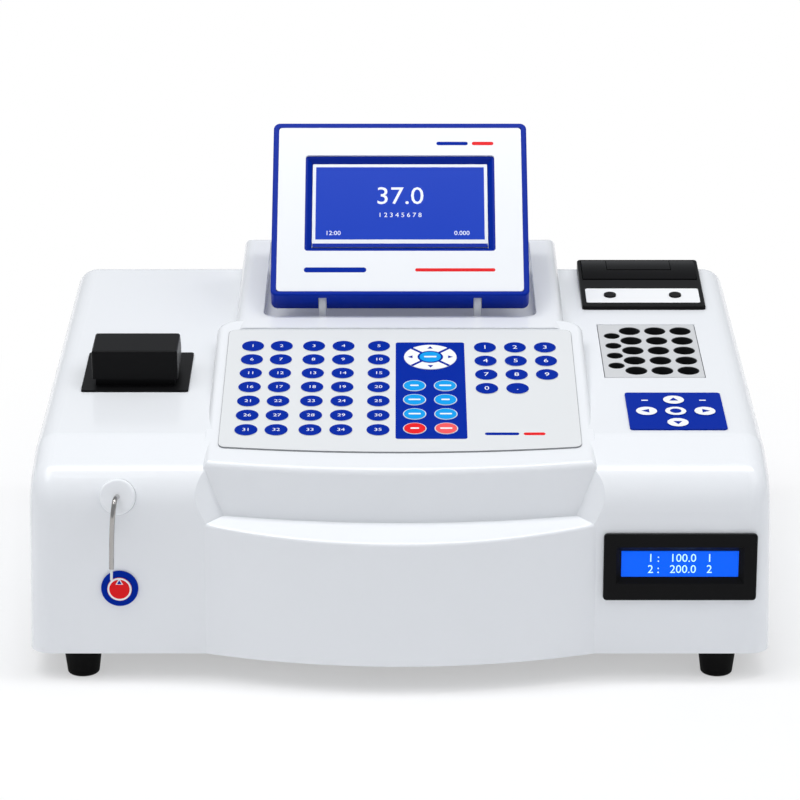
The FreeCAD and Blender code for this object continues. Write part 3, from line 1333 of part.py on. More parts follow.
# Front display
def make_front_lcd():
    """The black bezel with its bevelled window, the display and its board."""
    half, height = S.front_lcd_half_width, S.front_lcd_height
    flange = S.front_lcd_flange + CONNECTOR_PLAY
    proud = S.front_lcd_proud
    depth = S.wall + 4
    window = S.front_window_half_width
    low = S.front_window_bottom - S.front_lcd_bottom
    body = new_body("front_bezel_body", FRONT_LCD)
    outline = [(-half, dim(0)), (half, dim(0)), (half, height), (-half, height)]
    pad(body, draw(body, "XZ_Plane", [outline]), proud)

    def across(edge):
        return edge.BoundBox.YLength > proud.value - 0.01

    round_edges(body, 2, across)

    def front_edge(edge):
        return abs(edge.BoundBox.YMax + proud.value) < 0.01

    round_edges(body, 0.8, front_edge)
    plug = [(flange - half, flange), (half - flange, flange), (half - flange, height - flange),
            (flange - half, height - flange)]
    pad(body, draw(body, "XZ_Plane", [plug]), depth, reverse=True)
    hole = [(-window, low), (window, low), (window, low + S.front_window_height),
            (-window, low + S.front_window_height)]
    pocket(body, draw(body, "XZ_Plane", [hole], offset=proud + 1), depth + proud + 2)

    def window_edge(edge):
        limits = edge.BoundBox
        inside = limits.XMax < window.value + 0.1 and limits.XMin > -window.value - 0.1
        return abs(limits.YMin + proud.value) < 0.01 and abs(limits.YMax + proud.value) < 0.01 and inside

    round_edges(body, S.front_lcd_bevel, window_edge, "Chamfer")
    cavity = box("front_bezel_cavity", FRONT_LCD, centred(0, window + 3),
                 (dim(2), depth + 1), (low - 3, low + S.front_window_height + 3))
    node("front_lcd_bezel", cut("front_bezel", body, cavity))
    glass = box("front_glass", FRONT_LCD, centred(0, window - 0.2), (dim(0.6), depth),
                (low + 0.2, low + S.front_window_height - 0.2))
    tray = box("front_tray", FRONT_LCD, centred(0, window + 2.6), (dim(2), depth),
               (low - 2.6, low + S.front_window_height + 2.6))
    node("front_lcd", fuse("front_lcd_whole", glass, tray))
    node("front_lcd_board", box("front_board", FRONT_LCD, centred(0, half - flange - 1),
                                (depth, depth + S.board_thickness), (flange + 1, height - flange - 1)))


# Incubator
def make_incubator():
    """The aluminium block with its wells, the heater mat and the stand that carries them."""
    body = new_body("incubator_body", INCUBATOR)
    half, length, depth = S.incubator_half_width, S.incubator_length, S.incubator_depth
    outline = [(-half, dim(0)), (half, dim(0)), (half, length), (-half, length)]
    pad(body, draw(body, "XY_Plane", [outline], offset=-depth), depth)
    round_edges(body, 1.2, is_upright)
    wells = [(S.sample_column - S.incubator_x + column * S.sample_pitch_x,
              S.sample_row + row * S.sample_pitch_y, S.sample_radius)
             for column in range(3) for row in range(5)]
    wells += [(S.reagent_x - S.incubator_x, S.reagent_row + row * S.sample_pitch_y, S.reagent_radius)
              for row in range(4)]
    pocket(body, draw(body, "XY_Plane", circles=wells), S.well_depth)
    node("incubator_block", body)
    mat = S.heater_thickness
    node("incubator_heater", box("heater", INCUBATOR, centred(0, half - 2), (dim(2), length - 2),
                                 (-depth - mat, -depth)))
    sheet = S.stand_thickness
    top = -depth - mat
    tray = box("stand_tray", INCUBATOR, centred(0, half + sheet), (dim(0), length), (top - sheet, top))
    legs, lips = [], []
    middle = S.incubator_front + length * cosine(S.deck_slope) / 2
    for side in (-1, 1):
        low, high = (half, half + sheet) if side > 0 else (-half - sheet, -half)
        x = (S.incubator_x + low, S.incubator_x + high)
        legs.append(box("stand_leg", WORLD, x, centred(middle, length / 4),
                        (PAN_TOP, INCUBATOR.z + top + length / 4 * DECK_RISE)))
        foot = (x[0], x[1] + 10) if side > 0 else (x[0] - 10, x[1])
        lips.append(box("stand_foot", WORLD, foot, centred(middle, length / 4), (PAN_TOP, PAN_TOP + sheet)))
    node("incubator_stand", fuse("stand", tray, *legs, *lips))


# Printer
DOOR_REAR = S.printer_length - S.printer_wall - 0.4
DOOR_FRONT = S.door_axis - S.door_nose
MOUTH_FRONT = DOOR_FRONT - S.door_swing
DOOR_HALF = S.printer_half_width - S.printer_wall - S.side_play
DOOR_AXIS_IN = -S.door_thickness - 0.4
BUCKET_RIM = S.printer_rim + CONNECTOR_PLAY
LUG_HALF = S.printer_half_width - BUCKET_RIM - S.printer_wall - S.side_play
FASCIA_MIDDLE = S.fascia_front + S.fascia_length / 2
KEY_CEILING = -S.printer_lift - S.wall
KEY_BOARD_TOP = KEY_CEILING - 4 - S.printer_button_travel - 0.3


def make_printer_body():
    """The black printer case with its paper bucket, open under the door."""
    rise = tangent(S.printer_slope)
    length, half, wall = S.printer_length, S.printer_half_width, S.printer_wall
    body = new_body("printer_case_body", PRINTER)
    profile = [(dim(0), dim(0)), (length, dim(0)), (length, S.printer_lift + rise * length),
               (dim(0), S.printer_lift)]
    pad(body, draw(body, "YZ_Plane", [profile]), 2 * half, symmetric=True)

    def outer_edge(edge):
        points = ends_of(edge)
        upright = abs((points[1] - points[0]).z) > 1.5 and edge.BoundBox.YLength < 0.01
        return upright

    round_edges(body, 2.2, outer_edge)

    def top_edge(edge):
        points = [edge.valueAt(edge.FirstParameter + part * (edge.LastParameter - edge.FirstParameter))
                  for part in (0.0, 0.5, 1.0)]
        return all(abs(p.z - S.printer_lift.value - rise.value * p.y) < 0.02 for p in points)

    round_edges(body, 1.1, top_edge)
    rim = BUCKET_RIM
    bucket = box("bucket", PRINTER, centred(0, half - rim), (rim, length - rim), (-S.bucket_depth, dim(1)))
    inner = rim + wall
    hollow = box("bucket_hollow", PRINTER, centred(0, half - inner), (inner, length - inner),
                 (-S.bucket_depth + wall, S.printer_lift - wall))
    mouth = box("door_mouth", PRINTER_TOP, centred(0, half - wall), (MOUTH_FRONT, length - wall),
                (-S.printer_lift - 2, dim(HEADROOM)))
    lower_mouth = box("bucket_mouth", PRINTER, centred(0, half - inner), (MOUTH_FRONT, length - inner),
                      (-S.bucket_depth / 2, dim(2)))
    recess = box("fascia_recess", PRINTER_TOP, centred(0, S.fascia_half_width + 0.1),
                 (S.fascia_front - 0.1, S.fascia_front + S.fascia_length + 0.1),
                 (-S.fascia_thickness, dim(5)))
    holes = [rod("printer_button_hole", PRINTER_TOP, side * S.printer_button_spread,
                 FASCIA_MIDDLE, -HEADROOM / 4,
                 S.printer_button_radius + S.button_play, HEADROOM) for side in (-1, 1)]
    pins = []
    for side in (-1, 1):
        inside = LUG_HALF - 4
        pin_length = half - wall / 2 - inside
        start = inside if side > 0 else -inside - pin_length
        pins.append(rod("door_pin", PRINTER_TOP, start, S.door_axis, DOOR_AXIS_IN, S.door_pin_radius,
                        pin_length, "x"))
    case = cut("printer_case", fuse("printer_blank", body, bucket), hollow, mouth, lower_mouth, recess, *holes)
    pillars = [rod("key_board_pillar", PRINTER_TOP, side * (S.printer_button_spread + 9), FASCIA_MIDDLE,
                   KEY_BOARD_TOP, 2, 0 - KEY_BOARD_TOP - S.fascia_thickness - 0.5) for side in (-1, 1)]
    node("printer_body", fuse("printer_with_pins", case, *pins, *pillars))


def make_printer_front():
    """The white fascia, its two buttons and the small board under them."""
    middle = FASCIA_MIDDLE
    hole = S.printer_button_radius + S.button_play
    body = new_body("fascia_body", PRINTER_TOP, w=-S.fascia_thickness)
    half = S.fascia_half_width
    outline = [(-half, S.fascia_front), (half, S.fascia_front), (half, S.fascia_front + S.fascia_length),
               (-half, S.fascia_front + S.fascia_length)]
    spots = [(side * S.printer_button_spread, middle, hole) for side in (-1, 1)]
    pad(body, draw(body, "XY_Plane", [outline], spots), S.fascia_thickness)

    def corner(edge):
        return is_upright(edge) and abs(edge.BoundBox.Center.x) > half.value - 0.01

    round_edges(body, 1.5, corner)
    node("printer_fascia", body)
    ceiling = KEY_CEILING
    for name, side in (("feed_button", -1), ("select_button", 1)):
        x = side * S.printer_button_spread
        cap = rod(name + "_cap", PRINTER_TOP, x, middle, ceiling - 2, S.printer_button_radius,
                  0 - ceiling + 2 + 0.9)
        collar = rod(name + "_collar", PRINTER_TOP, x, middle, ceiling - 4, S.printer_button_radius + 1.4, 2)
        node(name, fuse(name + "_whole", cap, collar))
    floor = KEY_BOARD_TOP
    board = box("printer_key_plate", PRINTER_TOP, centred(0, S.printer_half_width - 2 * S.printer_rim),
                centred(middle, 7), (floor - S.board_thickness, floor))
    node("printer_key_board", board)


def door_shell(name):
    """The crowned plate that the door and its release tab are cut from."""
    body = new_body(name, PRINTER_TOP)
    half_chord = (DOOR_REAR - DOOR_FRONT) / 2
    radius = arc_radius(half_chord, S.door_crown)
    thick = S.door_thickness
    outline = [(DOOR_FRONT, -thick, 0 - radius), (DOOR_REAR, -thick), (DOOR_REAR, dim(0), radius),
               (DOOR_FRONT, dim(0))]
    pad(body, draw(body, "YZ_Plane", [outline]), 2 * DOOR_HALF, symmetric=True)
    return body


TAB_FRONT = S.door_axis + 8
TAB_GAP = dim(0.35)
TAB_PIVOT = TAB_FRONT + S.door_thickness / 2
TAB_RISE = S.door_crown * 0.75 - S.door_thickness / 2


def make_printer_door():
    """The crowned door with its hinge knuckles and platen lugs, the release tab and the platen."""
    shell = door_shell("door_plate")
    gap = box("tab_gap", PRINTER_TOP, centred(0, S.tab_half_width + TAB_GAP),
              (TAB_FRONT - TAB_GAP, DOOR_REAR + 1), centred(0, 10))
    knuckles, bores, lugs = [], [], []
    reach = S.door_pin_radius + 1.0
    platen_v = S.door_axis + S.platen_back
    platen_w = -S.door_thickness - S.platen_radius - 0.3 + S.door_crown / 2
    for side in (-1, 1):
        start = LUG_HALF - 6 if side > 0 else -LUG_HALF
        knuckles.append(rod("door_knuckle", PRINTER_TOP, start, S.door_axis, DOOR_AXIS_IN, reach, 6, "x"))
        start = LUG_HALF - 3 if side > 0 else -LUG_HALF
        lugs.append(box("platen_lug", PRINTER_TOP, (start, start + 3), centred(platen_v, 3),
                        (platen_w - 2, dim(0) + S.door_crown / 4)))
        start = LUG_HALF - 4.5 if side > 0 else -DOOR_HALF - 1
        bores.append(rod("door_bore", PRINTER_TOP, start, S.door_axis, DOOR_AXIS_IN,
                         S.door_pin_radius + S.hinge_play, DOOR_HALF - LUG_HALF + 5.5, "x"))
    bores.append(rod("platen_bore", PRINTER_TOP, -LUG_HALF - 1, platen_v, platen_w,
                     S.door_pin_radius + S.hinge_play, 2 * LUG_HALF + 2, "x"))
    pins = [rod("tab_pin", PRINTER_TOP, side * (S.tab_half_width + TAB_GAP + 1) - (3.4 if side > 0 else 0),
                TAB_PIVOT, TAB_RISE, 0.6, 3.4, "x") for side in (-1, 1)]
    door = cut("door_bored", fuse("door_whole", cut("door_gapped", shell, gap), *knuckles, *lugs), *bores)
    node("printer_door", fuse("door_with_pins", door, *pins))

    zone = box("tab_zone", PRINTER_TOP, centred(0, S.tab_half_width), (TAB_PIVOT, DOOR_REAR + 1),
               centred(0, 10))
    blade = common("tab_blade", door_shell("tab_plate"), zone)
    nose = rod("tab_nose", PRINTER_TOP, -S.tab_half_width, TAB_PIVOT, TAB_RISE, S.door_thickness / 2,
               2 * S.tab_half_width, "x")
    sockets = rod("tab_sockets", PRINTER_TOP, -S.tab_half_width - 1, TAB_PIVOT, TAB_RISE, 0.65,
                  2 * S.tab_half_width + 2, "x")
    node("door_tab", cut("tab_bored", fuse("tab_whole", blade, nose), sockets))
    inner = LUG_HALF - 3.4
    roller = rod("platen_rubber", PRINTER_TOP, -inner, platen_v, platen_w, S.platen_radius, 2 * inner, "x")
    shaft = rod("platen_shaft", PRINTER_TOP, -LUG_HALF, platen_v, platen_w, S.door_pin_radius,
                2 * LUG_HALF, "x")
    node("platen_roller", fuse("platen", roller, shaft))


# Screen
SPLIT = S.screen_split
LCD_FACE = S.face_thickness + 3.3
AXIS_UP, AXIS_IN = S.screen_axis_up, S.screen_axis_in
SLOT_HALF = S.ear_half_thickness + S.ear_play
SLOT_TOP = AXIS_UP + S.ear_radius + 1.2
SLOT_FRONT = AXIS_IN - S.ear_radius - 1.1


def rectangle(half, low, high):
    return [(-half, low), (half, low), (half, high), (-half, high)]


def deep(edge):
    """An edge that runs through the thickness of a panel."""
    limits = edge.BoundBox
    return limits.XLength < 0.01 and limits.ZLength < 0.01


def ear_slots(name):
    """Slots in the lower edge of the screen for the two hinge ears."""
    return [box(name, SCREEN, centred(side * S.ear_x, SLOT_HALF), (SLOT_FRONT, S.screen_depth + 1),
                (dim(-1), SLOT_TOP)) for side in (-1, 1)]


def make_screen_frame():
    """The blue front frame: recess for the face plate, bevelled window and hinge lugs."""
    body = new_body("screen_frame_body", SCREEN)
    half, height = S.screen_half_width, S.screen_height
    pad(body, draw(body, "XZ_Plane", [rectangle(half, dim(0), height)]), SPLIT, reverse=True)
    round_edges(body, S.screen_corner, deep)

    def front_rim(edge):
        return edge.BoundBox.YMax < 0.01

    round_edges(body, 1.2, front_rim)
    recess = rectangle(S.face_half_width + 0.1, S.face_bottom - 0.1, S.face_bottom + S.face_height + 0.1)
    pocket(body, draw(body, "XZ_Plane", [recess]), S.face_thickness)
    wall = S.screen_wall
    inner = rectangle(half - wall, wall, height - wall)
    pocket(body, draw(body, "XZ_Plane", [inner], offset=-SPLIT), SPLIT - LCD_FACE, reverse=True)
    bevel = S.screen_bevel
    window = rectangle(S.window_half_width - bevel, S.window_bottom + bevel,
                       S.window_bottom + S.window_height - bevel)
    pocket(body, draw(body, "XZ_Plane", [window]), SPLIT)

    def window_edge(edge):
        limits = edge.BoundBox
        inside = limits.XMax < S.window_half_width.value and limits.XMin > -S.window_half_width.value
        level = abs(limits.YMin - S.face_thickness.value) < 0.01 and limits.YLength < 0.01
        return level and inside

    round_edges(body, LCD_FACE - S.face_thickness - 0.4, window_edge, "Chamfer")
    lugs = []
    for side in (-1, 1):
        width = centred(side * S.ear_x, SLOT_HALF + 4)
        lugs.append(box("screen_lug", SCREEN, width, (LCD_FACE - 1, SPLIT), (wall / 2, SLOT_TOP + 1)))
        lugs.append(box("screen_lug_rear", SCREEN, width, (SPLIT - 1, AXIS_IN + 5), (wall + 0.2, SLOT_TOP + 1)))
    bores = [rod("screen_lug_bore", SCREEN, side * S.ear_x - SLOT_HALF - 5, AXIS_IN, AXIS_UP,
                 S.screen_pin_radius + S.hinge_play, 2 * SLOT_HALF + 10, "x") for side in (-1, 1)]
    posts = []
    for x, h in screen_screw_places():
        posts.append(rod("screen_post", SCREEN, x, LCD_FACE - 1, h, 3.2, SPLIT - LCD_FACE + 1, "v"))
        bores.append(rod("screen_post_bore", SCREEN, x, LCD_FACE + 1, h, 1.2, SPLIT, "v"))
    node("screen_frame", cut("screen_frame_cut", fuse("screen_frame_whole", body, *lugs, *posts),
                             *bores, *ear_slots("frame_slot")))


def screen_screw_places():
    """Where the back shell is screwed to the frame."""
    x = S.screen_half_width - 7
    return [(side * x, h) for side in (-1, 1) for h in (dim(9), S.screen_height - 9)]


def make_screen_back():
    """The blue rear shell with vents, and the four screws that hold it."""
    body = new_body("screen_back_body", SCREEN)
    half, height = S.screen_half_width, S.screen_height
    depth = S.screen_depth - SPLIT
    pad(body, draw(body, "XZ_Plane", [rectangle(half, dim(0), height)], offset=-SPLIT), depth, reverse=True)
    round_edges(body, S.screen_corner, deep)

    def rear_rim(edge):
        return edge.BoundBox.YMin > S.screen_depth.value - 0.01

    round_edges(body, 3, rear_rim)
    wall = S.screen_wall
    pocket(body, draw(body, "XZ_Plane", [rectangle(half - wall, wall, height - wall)], offset=-SPLIT),
           depth - wall)
    vents = []
    for row in range(7):
        low = height * 0.6 + 5 * dim(row)
        vents += [rectangle(dim(22), low, low + 2)]
    pocket(body, draw(body, "XZ_Plane", vents, offset=-SPLIT), depth + 1)
    places = screen_screw_places()
    pillars = [rod("back_pillar", SCREEN, x, SPLIT, h, 3.2, depth - 1, "v") for x, h in places]
    holes = [rod("back_hole", SCREEN, x, SPLIT - 1, h, 1.4, depth + 2, "v") for x, h in places]
    sinks = [rod("back_sink", SCREEN, x, S.screen_depth - 2.2, h, 2.8, 3, "v") for x, h in places]
    node("screen_back", cut("screen_back_cut", fuse("screen_back_whole", body, *pillars), *holes, *sinks,
                            *ear_slots("back_slot")))
    screws = []
    for x, h in places:
        head = rod("back_screw_head", SCREEN, x, S.screen_depth - 2.2, h, 2.5, 1.6, "v")
        shank = rod("back_screw_shank", SCREEN, x, SPLIT - 4, h, 1.2, depth + 2.2, "v")
        screws.append(fuse("back_screw", head, shank))
    node("screen_screws", group("screen_screw_group", *screws))


def make_screen_face():
    """The white face plate, the silver display frame, the display and its board."""
    body = new_body("face_plate_body", SCREEN)
    window = rectangle(S.window_half_width, S.window_bottom, S.window_bottom + S.window_height)
    outer = rectangle(S.face_half_width, S.face_bottom, S.face_bottom + S.face_height)
    pad(body, draw(body, "XZ_Plane", [outer, window]), S.face_thickness, reverse=True)
    round_edges(body, 2, deep)
    node("screen_face_plate", body)
    gap = 0.2
    bevel = S.screen_bevel + gap
    low, high = S.window_bottom + bevel, S.window_bottom + S.window_height - bevel
    silver_half = S.window_half_width - bevel
    flange = 4
    step = box("silver_step", SCREEN, centred(0, silver_half), (LCD_FACE - 1.2, LCD_FACE + 1), (low, high))
    rim = box("silver_rim", SCREEN, centred(0, silver_half + flange), (LCD_FACE, LCD_FACE + 1),
              (low - flange, high + flange))
    hole = box("silver_hole", SCREEN, centred(0, S.display_half_width), (LCD_FACE - 3, LCD_FACE + 3),
               (S.display_bottom, S.display_bottom + S.display_height))
    node("screen_lcd_frame", cut("silver_frame", fuse("silver_blank", step, rim), hole))
    glass = box("display_glass", SCREEN, centred(0, S.display_half_width - 0.1),
                (LCD_FACE - 0.7, LCD_FACE + 1), (S.display_bottom + 0.1, S.display_bottom + S.display_height - 0.1))
    back = box("display_back", SCREEN, centred(0, silver_half + flange), (LCD_FACE + 1, LCD_FACE + 3.5),
               (low - flange, high + flange))
    node("screen_lcd", fuse("display", glass, back))
    board = box("screen_plate", SCREEN, centred(0, S.screen_half_width - 13),
                (LCD_FACE + 3.5, LCD_FACE + 3.5 + S.board_thickness),
                (SLOT_TOP + 4, S.screen_height - 6))
    node("screen_board", board)


def make_screen_hinge():
    """Two steel brackets that stand in the well, and the pins they carry."""
    axis_y = SCREEN.point(0, AXIS_IN, AXIS_UP)[1]
    axis_z = SCREEN.point(0, AXIS_IN, AXIS_UP)[2]
    floor = S.well_floor + WELL_RISE * axis_y
    stand = Frame(0, axis_y, floor, S.well_slope)
    brackets = []
    for side in (-1, 1):
        x = centred(side * S.ear_x, S.ear_half_thickness)
        eye = rod("ear_eye", WORLD, x[0], axis_y, axis_z, S.ear_radius, 2 * S.ear_half_thickness, "x")
        stem = box("ear_stem", WORLD, x, centred(axis_y, S.ear_radius), (floor + 1, axis_z))
        foot = box("ear_foot", stand, centred(side * S.ear_x, 7), (-dim(7), dim(14)), (dim(0), dim(2)))
        pin = rod("ear_pin", WORLD, side * S.ear_x - SLOT_HALF - 3.5, axis_y, axis_z,
                  S.screen_pin_radius, 2 * SLOT_HALF + 7, "x")
        brackets.append(fuse("bracket", eye, stem, foot, pin))
    node("hinge_brackets", group("hinge_bracket_pair", *brackets))


# Rear panel
def make_fan():
    """The fan's frame with its spokes, and the bladed rotor."""
    half, depth = S.fan_half_size, S.fan_depth
    inner_face = S.rear_face - S.wall
    body = new_body("fan_frame_body", WORLD, S.fan_x, inner_face, S.fan_z)
    corner = half - 4.5
    screws = [(sx * corner, sz * corner, 1.8) for sx in (-1, 1) for sz in (-1, 1)]
    pad(body, draw(body, "XZ_Plane", [rectangle(half, -half, half)], [(0, 0, S.fan_bore)] + screws), depth)

    def frame_corner(edge):
        return deep(edge) and abs(edge.BoundBox.Center.x) > half.value - 0.01

    round_edges(body, 3, frame_corner)
    plate = 2.5
    front = inner_face - depth
    hub = rod("fan_mount", WORLD, S.fan_x, front, S.fan_z, S.fan_hub, plate, "v")
    spokes = [box("fan_spoke", WORLD, centred(S.fan_x, S.fan_bore + 1), (front, front + plate),
                  centred(S.fan_z, 1.5)),
              box("fan_spoke", WORLD, centred(S.fan_x, 1.5), (front, front + plate),
                  centred(S.fan_z, S.fan_bore + 1))]
    pin = rod("fan_pin", WORLD, S.fan_x, front + 1, S.fan_z, 1.5, depth - 4, "v")
    node("fan_frame", fuse("fan_frame_whole", body, hub, *spokes, pin))

    rotor = new_body("fan_rotor_body", WORLD, S.fan_x, inner_face - 1.5, S.fan_z)
    height = depth - plate - 3
    sketch = draw(rotor, "XZ_Plane", circles=[(0, 0, S.fan_hub), (0, 0, 1.5 + S.hinge_play)])
    pad(rotor, sketch, height)
    chord, thick = height * 1.0, dim(1.2)
    section = [(-chord * 0.6, -height + 0.5), (thick - chord * 0.6, -height + 0.5),
               (chord * 0.6, -dim(0.5)), (chord * 0.6 - thick, -dim(0.5))]
    blade = draw(rotor, "XY_Plane", [section], offset=S.fan_hub - 1)
    pad(rotor, blade, S.fan_bore - S.fan_tip_gap - S.fan_hub + 1)
    pattern = rotor.newObject("PartDesign::PolarPattern", "fan_blades")
    pattern.Originals = [rotor.Tip]
    pattern.Axis = (plane_of(rotor, "Y_Axis"), [""])
    pattern.Angle = 360
    pattern.Occurrences = 7
    rotor.Tip = pattern
    tip = rod("fan_tip_limit", WORLD, S.fan_x, inner_face - depth, S.fan_z, S.fan_bore - S.fan_tip_gap,
              depth, "v")
    node("fan_rotor", common("fan_rotor_trimmed", rotor, tip))


def make_rear_panel():
    """Power inlet, rocker switch, serial and data ports and the waste outlet."""
    face = S.rear_face
    flange = S.panel_flange
    half_w, half_h = INLET_HALF
    plate = box("inlet_plate", WORLD, centred(S.inlet_x, half_w + 9), (face, face + flange),
                centred(S.inlet_z, half_h + 3))
    core = box("inlet_core", WORLD, centred(S.inlet_x, half_w), (face - 18, face + 1), centred(S.inlet_z, half_h))
    cavity = box("inlet_cavity", WORLD, centred(S.inlet_x, half_w - 2), (face - 14, face + flange + 1),
                 centred(S.inlet_z, half_h - 2))
    blades = [box("inlet_blade", WORLD, centred(S.inlet_x + 7 * k, 1), (face - 15, face - 1),
                  centred(S.inlet_z + (2 if k == 0 else -2), 2)) for k in (-1, 0, 1)]
    inlet = fuse("inlet", cut("inlet_shell", fuse("inlet_blank", plate, core), cavity), *blades)

    half_w, half_h = ROCKER_HALF
    rocker_half = half_h - 3.2
    frame = box("rocker_plate", WORLD, centred(S.rocker_x, half_w + 2), (face, face + 1.5),
                centred(S.inlet_z, half_h + 2))
    core = box("rocker_core", WORLD, centred(S.rocker_x, half_w), (face - 14, face + 1),
               centred(S.inlet_z, half_h))
    hole = box("rocker_window", WORLD, centred(S.rocker_x, half_w - 1.6), (face - 12, face + 3),
               centred(S.inlet_z, half_h - 1.6))
    pin = rod("rocker_pin", WORLD, S.rocker_x - half_w, face - 4, S.inlet_z, 1.2, 2 * half_w, "x")
    switch = fuse("switch", cut("switch_shell", fuse("switch_blank", frame, core), hole), pin)
    node("power_inlet", group("inlet_and_switch", inlet, switch))
    body = new_body("rocker_body", WORLD, S.rocker_x, face - 4, S.inlet_z)
    outline = [(dim(-3), dim(-4)), (dim(0), dim(-5)), (dim(4.0), -rocker_half), (dim(6.2), -rocker_half),
               (dim(4.6), dim(0)), (dim(3.4), rocker_half), (dim(1.6), rocker_half), (dim(0), dim(5)),
               (dim(-3), dim(4))]
    pad(body, draw(body, "YZ_Plane", [outline]), 2 * (half_w - 2), symmetric=True)
    bore = rod("rocker_bore", WORLD, S.rocker_x - half_w, face - 4, S.inlet_z, 1.2 + S.hinge_play,
               2 * half_w, "x")
    node("power_rocker", cut("rocker", body, bore))

    half_w, half_h = SERIAL_HALF
    plate = box("serial_plate", WORLD, centred(S.serial_x, half_w + 6.5), (face, face + 1),
                centred(S.ports_z, half_h + 1.2))
    core = box("serial_core", WORLD, centred(S.serial_x, half_w), (face - 10, face + 3.6),
               centred(S.ports_z, half_h - 0.8))
    well = box("serial_well", WORLD, centred(S.serial_x, half_w - 1), (face - 4, face + 5),
               centred(S.ports_z, half_h - 1.8))
    nuts = [rod("serial_nut", WORLD, S.serial_x + side * (half_w + 3.6), face + 0.5, S.ports_z, 2.2, 3.5, "v")
            for side in (-1, 1)]
    pins = [rod("serial_pin", WORLD, S.serial_x + 2.7 * (k - 2), face - 5, S.ports_z + 1.4, 0.5, 6, "v")
            for k in range(5)]
    node("serial_port", fuse("serial", cut("serial_shell", fuse("serial_blank", plate, core, *nuts), well), *pins))

    half_w, half_h = USB_HALF
    core = box("usb_core", WORLD, centred(S.usb_x, half_w), (face - 14, face + 1.2), centred(S.ports_z, half_h))
    well = box("usb_well", WORLD, centred(S.usb_x, half_w - 1), (face - 8, face + 3),
               centred(S.ports_z, half_h - 1))
    tongue = box("usb_tongue", WORLD, centred(S.usb_x, half_w - 3.6), (face - 9, face),
                 centred(S.ports_z, half_h - 4))
    node("usb_port", fuse("usb", cut("usb_shell", core, well), tongue))

    waste = new_body("waste_body", WORLD, S.waste_x, face, S.ports_z, "v")
    inside = -(S.wall + 12)
    reach = S.waste_tip - face
    profile = [(dim(1.2), inside), (dim(2.2), inside), (dim(2.2), -S.wall), (WASTE_RADIUS, -S.wall),
               (WASTE_RADIUS, dim(0)), (dim(6), dim(0)), (dim(6), dim(1.5)), (dim(3), dim(1.5)),
               (dim(2.2), reach), (dim(1.2), reach)]
    revolve(waste, draw(waste, "XZ_Plane", [profile]))
    node("waste_outlet", waste)


# Pump, boards and supply
def make_pump():
    """The pump head with its round cavity, the lobed rotor, the motor and its shaft."""
    half, depth = S.pump_half_size, S.pump_depth
    back = S.pump_y + depth
    block = box("pump_block", WORLD, centred(S.pump_x, half), (S.pump_y, back),
                (S.pump_z - half, S.pump_z + half))
    foot = box("pump_foot", WORLD, centred(S.pump_x, half), (S.pump_y, back + S.pump_motor_length),
               (PAN_TOP, PAN_TOP + 3))
    riser = box("pump_riser", WORLD, centred(S.pump_x, half), (S.pump_y, back),
                (PAN_TOP, S.pump_z - half + 1))
    web = 4
    cavity = rod("pump_round", WORLD, S.pump_x, S.pump_y - 1, S.pump_z, S.pump_cavity, depth - web + 1, "v")
    hole = rod("pump_shaft_hole", WORLD, S.pump_x, S.pump_y, S.pump_z, S.pump_shaft_radius + 0.5, depth + 1, "v")
    node("pump_head", cut("pump_head_cut", fuse("pump_head_blank", block, foot, riser), cavity, hole))
    can = rod("pump_can", WORLD, S.pump_x, back, S.pump_z, S.pump_motor_radius, S.pump_motor_length, "v")
    shaft = rod("pump_shaft", WORLD, S.pump_x, S.pump_y + 3, S.pump_z, S.pump_shaft_radius, depth - 2, "v")
    node("pump_motor", fuse("pump_motor_whole", can, shaft))
    rotor_back = back - web - 1
    body = new_body("pump_rotor_body", WORLD, S.pump_x, rotor_back, S.pump_z)
    arm = S.pump_cavity - 6
    pad(body, draw(body, "XZ_Plane", circles=[(0, 0, 8)]), depth - web - 3)
    pad(body, draw(body, "XZ_Plane", circles=[(0, arm, 4.5)]), depth - web - 3)
    lobes = body.newObject("PartDesign::PolarPattern", "pump_lobes")
    lobes.Originals = [body.Tip]
    lobes.Axis = (plane_of(body, "Y_Axis"), [""])
    lobes.Angle = 360
    lobes.Occurrences = 3
    body.Tip = lobes
    bore = rod("pump_rotor_bore", WORLD, S.pump_x, S.pump_y - 1, S.pump_z,
               S.pump_shaft_radius + S.hinge_play, depth + 2, "v")
    node("pump_rotor", cut("pump_rotor_cut", body, bore))


def make_boards():
    """The main board on its posts and the power supply on the pan."""
    base = PAN_TOP + S.board_standoff
    top = base + S.board_thickness
    plate = box("main_plate", WORLD, BOARD_X, BOARD_Y, (base, top))
    parts = [box("chip", WORLD, (x, x + size), (y, y + size), (top - 0.5, top + 2.5))
             for x, y, size in ((-5, -30, 24), (28, -20, 14), (50, -55, 12), (-20, 12, 12))]
    parts += [box("connector", WORLD, (dim(x), dim(x) + 22), (BOARD_Y[0] + 3, BOARD_Y[0] + 9), (top - 0.5, top + 8))
              for x in (-25, 5, 36)]
    parts += [rod("capacitor", WORLD, x, BOARD_Y[1] - 14, top - 0.5, 4, 12) for x in (20, 32, 44, 56)]
    node("main_board", fuse("main_board_whole", plate, *parts))
    side = S.body_half_width - S.supply_inset
    x = (side - S.supply_length, side)
    y = (S.rear_face - 100, S.rear_face - 22)
    height = S.supply_height
    case = box("supply_case", WORLD, x, y, (PAN_TOP, PAN_TOP + height))
    slots = [box("supply_slot", WORLD, (x[0] + 10 + 9 * k, x[0] + 14 + 9 * k), (y[0] + 10, y[1] - 10),
                 (PAN_TOP + height - 3, PAN_TOP + height + 1)) for k in range(8)]
    node("power_supply", cut("supply", case, *slots))


